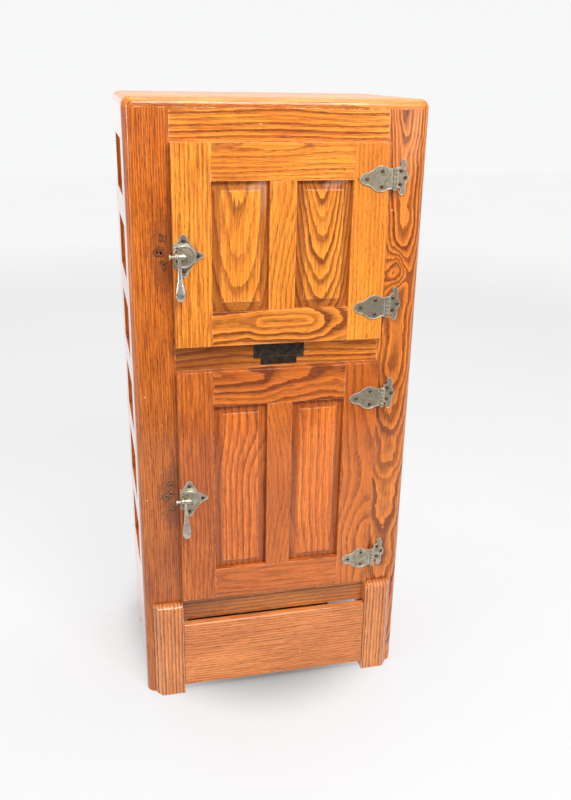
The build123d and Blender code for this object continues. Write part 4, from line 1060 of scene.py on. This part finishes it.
class ICEBOX_OT_nameplate(bpy.types.Operator):
    """Models the small dark plate with a plain raised pattern"""
    bl_idname = "icebox.nameplate"
    bl_label = "Nameplate"

    def repeated_bar(self, size, rounding, places):
        """A small bar with rounded edges at each place, each copy with its own mesh."""
        deselect()
        bpy.ops.mesh.primitive_cube_add(size=1, location=(0, 0, 0))
        bar = bpy.context.object
        bar.scale = [side * MM for side in size]
        settle(bar)
        apply_modifier(bar, "BEVEL", width=rounding * MM, segments=2, limit_method="NONE")
        copies = []
        for place in places:
            copy = bpy.data.objects.new("raised_bar", bar.data.copy())
            bpy.context.scene.collection.objects.link(copy)
            copy.location = place
            settle(copy)
            copies.append(copy)
        bpy.data.objects.remove(bar)
        return copies

    def execute(self, context):
        low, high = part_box("nameplate")

        def blackened(graph, coordinates, shader):
            patina = graph.group("Patina", Vector=coordinates, Film=0.8, Radius=0.0008)
            colour = graph.mix(patina["Film"], (0.028, 0.022, 0.018, 1), (0.075, 0.055, 0.04, 1))
            colour = graph.mix(graph.times(patina["Edge"], 0.5), colour, (0.30, 0.24, 0.18, 1))
            rough = graph.span(patina["Cloud"], 0.3, 0.7, 0.34, 0.55)
            graph.feed(shader, Base_Color=colour, Metallic=0.6, Roughness=rough)
            bumped(graph, shader, ((patina["Pits"], 0.4, 0.0003),))

        black = finish_material("Blackened plate", blackened)
        plate = softened("nameplate", 0.3 * MM, 2)
        paint(plate, black)
        face = low.y + 1.1 * MM
        middle_z = (high.z + low.z) / 2 + 7 * MM
        pitch, half_count = 8.6 * MM, 4
        beads = []
        for size, rounding, places in (
                ((2.6, 1.0, 7.0), 0.4, [(i * pitch, 0) for i in range(-half_count, half_count + 1, 2)]),
                ((2.6, 1.0, 4.4), 0.4, [(i * pitch, 0) for i in range(1 - half_count, half_count, 2)]),
                ((82, 0.9, 1.1), 0.3, [(0, -9 * MM), (0, 9 * MM)])):
            beads += self.repeated_bar(size, rounding, [(x, face, middle_z + z) for x, z in places])
        relief = joined("nameplate_relief", beads)
        paint(relief, black)
        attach(relief, "cabinet")
        return {"FINISHED"}


class ICEBOX_OT_stage(bpy.types.Operator):
    """Lays the pale paper backdrop, the soft lights and the camera"""
    bl_idname = "icebox.stage"
    bl_label = "Studio"

    def light_world(self, context):
        """White walls behind and beside the object, and a dim room in front of it."""
        world = bpy.data.worlds.new("studio_white")
        context.scene.world = world
        world.use_nodes = True
        graph = Graph(world.node_tree)
        shine = world.node_tree.nodes["Background"]
        _, facing, rise = graph.split(graph.node("ShaderNodeTexCoord").outputs["Generated"])
        level = graph.span(facing, -0.45, 0.15, 0.08, 1.08)
        seen = graph.node("ShaderNodeLightPath").outputs["Is Camera Ray"]
        shown = graph.span(rise, -0.02, 0.30, 0.945, 0.905)
        unseen = graph.times(level, graph.math("SUBTRACT", 1.0, seen))
        graph.feed(shine, Strength=graph.math("MAXIMUM", unseen, graph.times(seen, shown)),
                   Color=(0.99, 0.995, 1.0, 1))

    def execute(self, context):
        stage = context.scene.icebox_stage
        deselect()
        bpy.ops.mesh.primitive_plane_add(size=1, location=(0, 0, 0))
        paper = context.object
        paper.name = "paper_backdrop"
        paper.location = (0, 4.3, 0)
        paper.scale = (14, 12, 1)
        settle(paper)

        def papered(graph, coordinates, shader):
            soft = graph.noise(coordinates, scale=1.2, detail=2.0)
            colour = graph.mix(soft, rgba(stage.backdrop, 0.20), rgba(stage.backdrop, 0.23))
            shade = graph.patch(coordinates, (0, 0.12, 0), (0.37, 0.46, 1), 0.0)
            near = graph.patch(coordinates, (0, 0, 0), (6, 6, 6), 0.0)
            glow = graph.mix(near, rgba(stage.backdrop), rgba(stage.backdrop, 0.84))
            graph.feed(shader, Base_Color=colour, Emission_Strength=0.81, Roughness=0.75,
                       Emission_Color=graph.mix(shade, glow, rgba(stage.backdrop, 0.25)),
                       Specular_IOR_Level=0.25)

        paint(paper, finish_material("Backdrop paper", papered))

        def area(name, place, aim, size, power, colour=(1, 1, 1)):
            light = bpy.data.lights.new(name, "AREA")
            light.shape = "RECTANGLE"
            light.size, light.size_y = size
            light.energy = power
            light.color = colour
            lamp = bpy.data.objects.new(name, light)
            context.scene.collection.objects.link(lamp)
            lamp.location = place
            lamp.rotation_euler = (Vector(aim) - Vector(place)).to_track_quat("-Z", "Y").to_euler()

        area("key_softbox", (0.4, -2.0, 3.0), (0, 0, 1.0), (1.3, 0.9), 92)
        area("fill_softbox", (-1.8, -3.2, 1.9), (0, 0, 0.9), (1.4, 1.0), 11)
        area("edge_strip", (-2.3, -1.3, 1.45), (-0.2, -0.2, 1.2), (0.22, 0.9), 16)
        area("strip_softbox", (1.75, -3.0, 1.75), (1.75, 0, 1.75), (0.9, 1.7), 20)
        area("top_softbox", (0.2, 0.3, 4.2), (0, 0, 0), (3.0, 3.0), 92)
        self.light_world(context)
        context.scene.view_settings.view_transform = "Standard"

        yaw, pitch, roll = stage.camera_yaw, stage.camera_pitch, stage.camera_roll
        level = Vector((math.sin(yaw), math.cos(yaw), 0))
        forward = level * math.cos(pitch) + Vector((0, 0, math.sin(pitch)))
        right = Vector((math.cos(yaw), -math.sin(yaw), 0))
        up = right.cross(forward)
        right_rolled = math.cos(roll) * right + math.sin(roll) * up
        up_rolled = -math.sin(roll) * right + math.cos(roll) * up
        turn = Matrix((right_rolled, up_rolled, -forward)).transposed()
        data = bpy.data.cameras.new("view_camera")
        data.lens = stage.lens
        data.sensor_width = 36
        camera = bpy.data.objects.new("view_camera", data)
        context.scene.collection.objects.link(camera)
        camera.matrix_world = Matrix.Translation(stage.camera_place) @ turn.to_4x4()
        context.scene.camera = camera
        return {"FINISHED"}


STEPS = (
    ICEBOX_OT_shader_groups, ICEBOX_OT_case_oak, ICEBOX_OT_door_oak, ICEBOX_OT_inside,
    ICEBOX_OT_hinges, ICEBOX_OT_latches, ICEBOX_OT_nameplate, ICEBOX_OT_stage,
)


class ICEBOX_PT_panel(bpy.types.Panel):
    """Lists the steps in the sidebar"""
    bl_idname = "ICEBOX_PT_panel"
    bl_label = "Oak Icebox"
    bl_space_type = "VIEW_3D"
    bl_region_type = "UI"
    bl_category = "Icebox"

    def draw(self, context):
        for step in STEPS:
            self.layout.operator(step.bl_idname)
        for group in (context.scene.icebox_wood, context.scene.icebox_metal, context.scene.icebox_stage):
            for name in group.__annotations__:
                self.layout.prop(group, name)


CLASSES = (IceboxWood, IceboxMetal, IceboxStage, *STEPS, ICEBOX_PT_panel)


def register():
    for item in CLASSES:
        bpy.utils.register_class(item)
    bpy.types.Scene.icebox_wood = PointerProperty(type=IceboxWood)
    bpy.types.Scene.icebox_metal = PointerProperty(type=IceboxMetal)
    bpy.types.Scene.icebox_stage = PointerProperty(type=IceboxStage)


def unregister():
    del bpy.types.Scene.icebox_stage
    del bpy.types.Scene.icebox_metal
    del bpy.types.Scene.icebox_wood
    for item in reversed(CLASSES):
        bpy.utils.unregister_class(item)


def main():
    register()
    for step in STEPS:
        family, name = step.bl_idname.split(".")
        getattr(getattr(bpy.ops, family), name)()


if __name__ == "__main__":
    main()
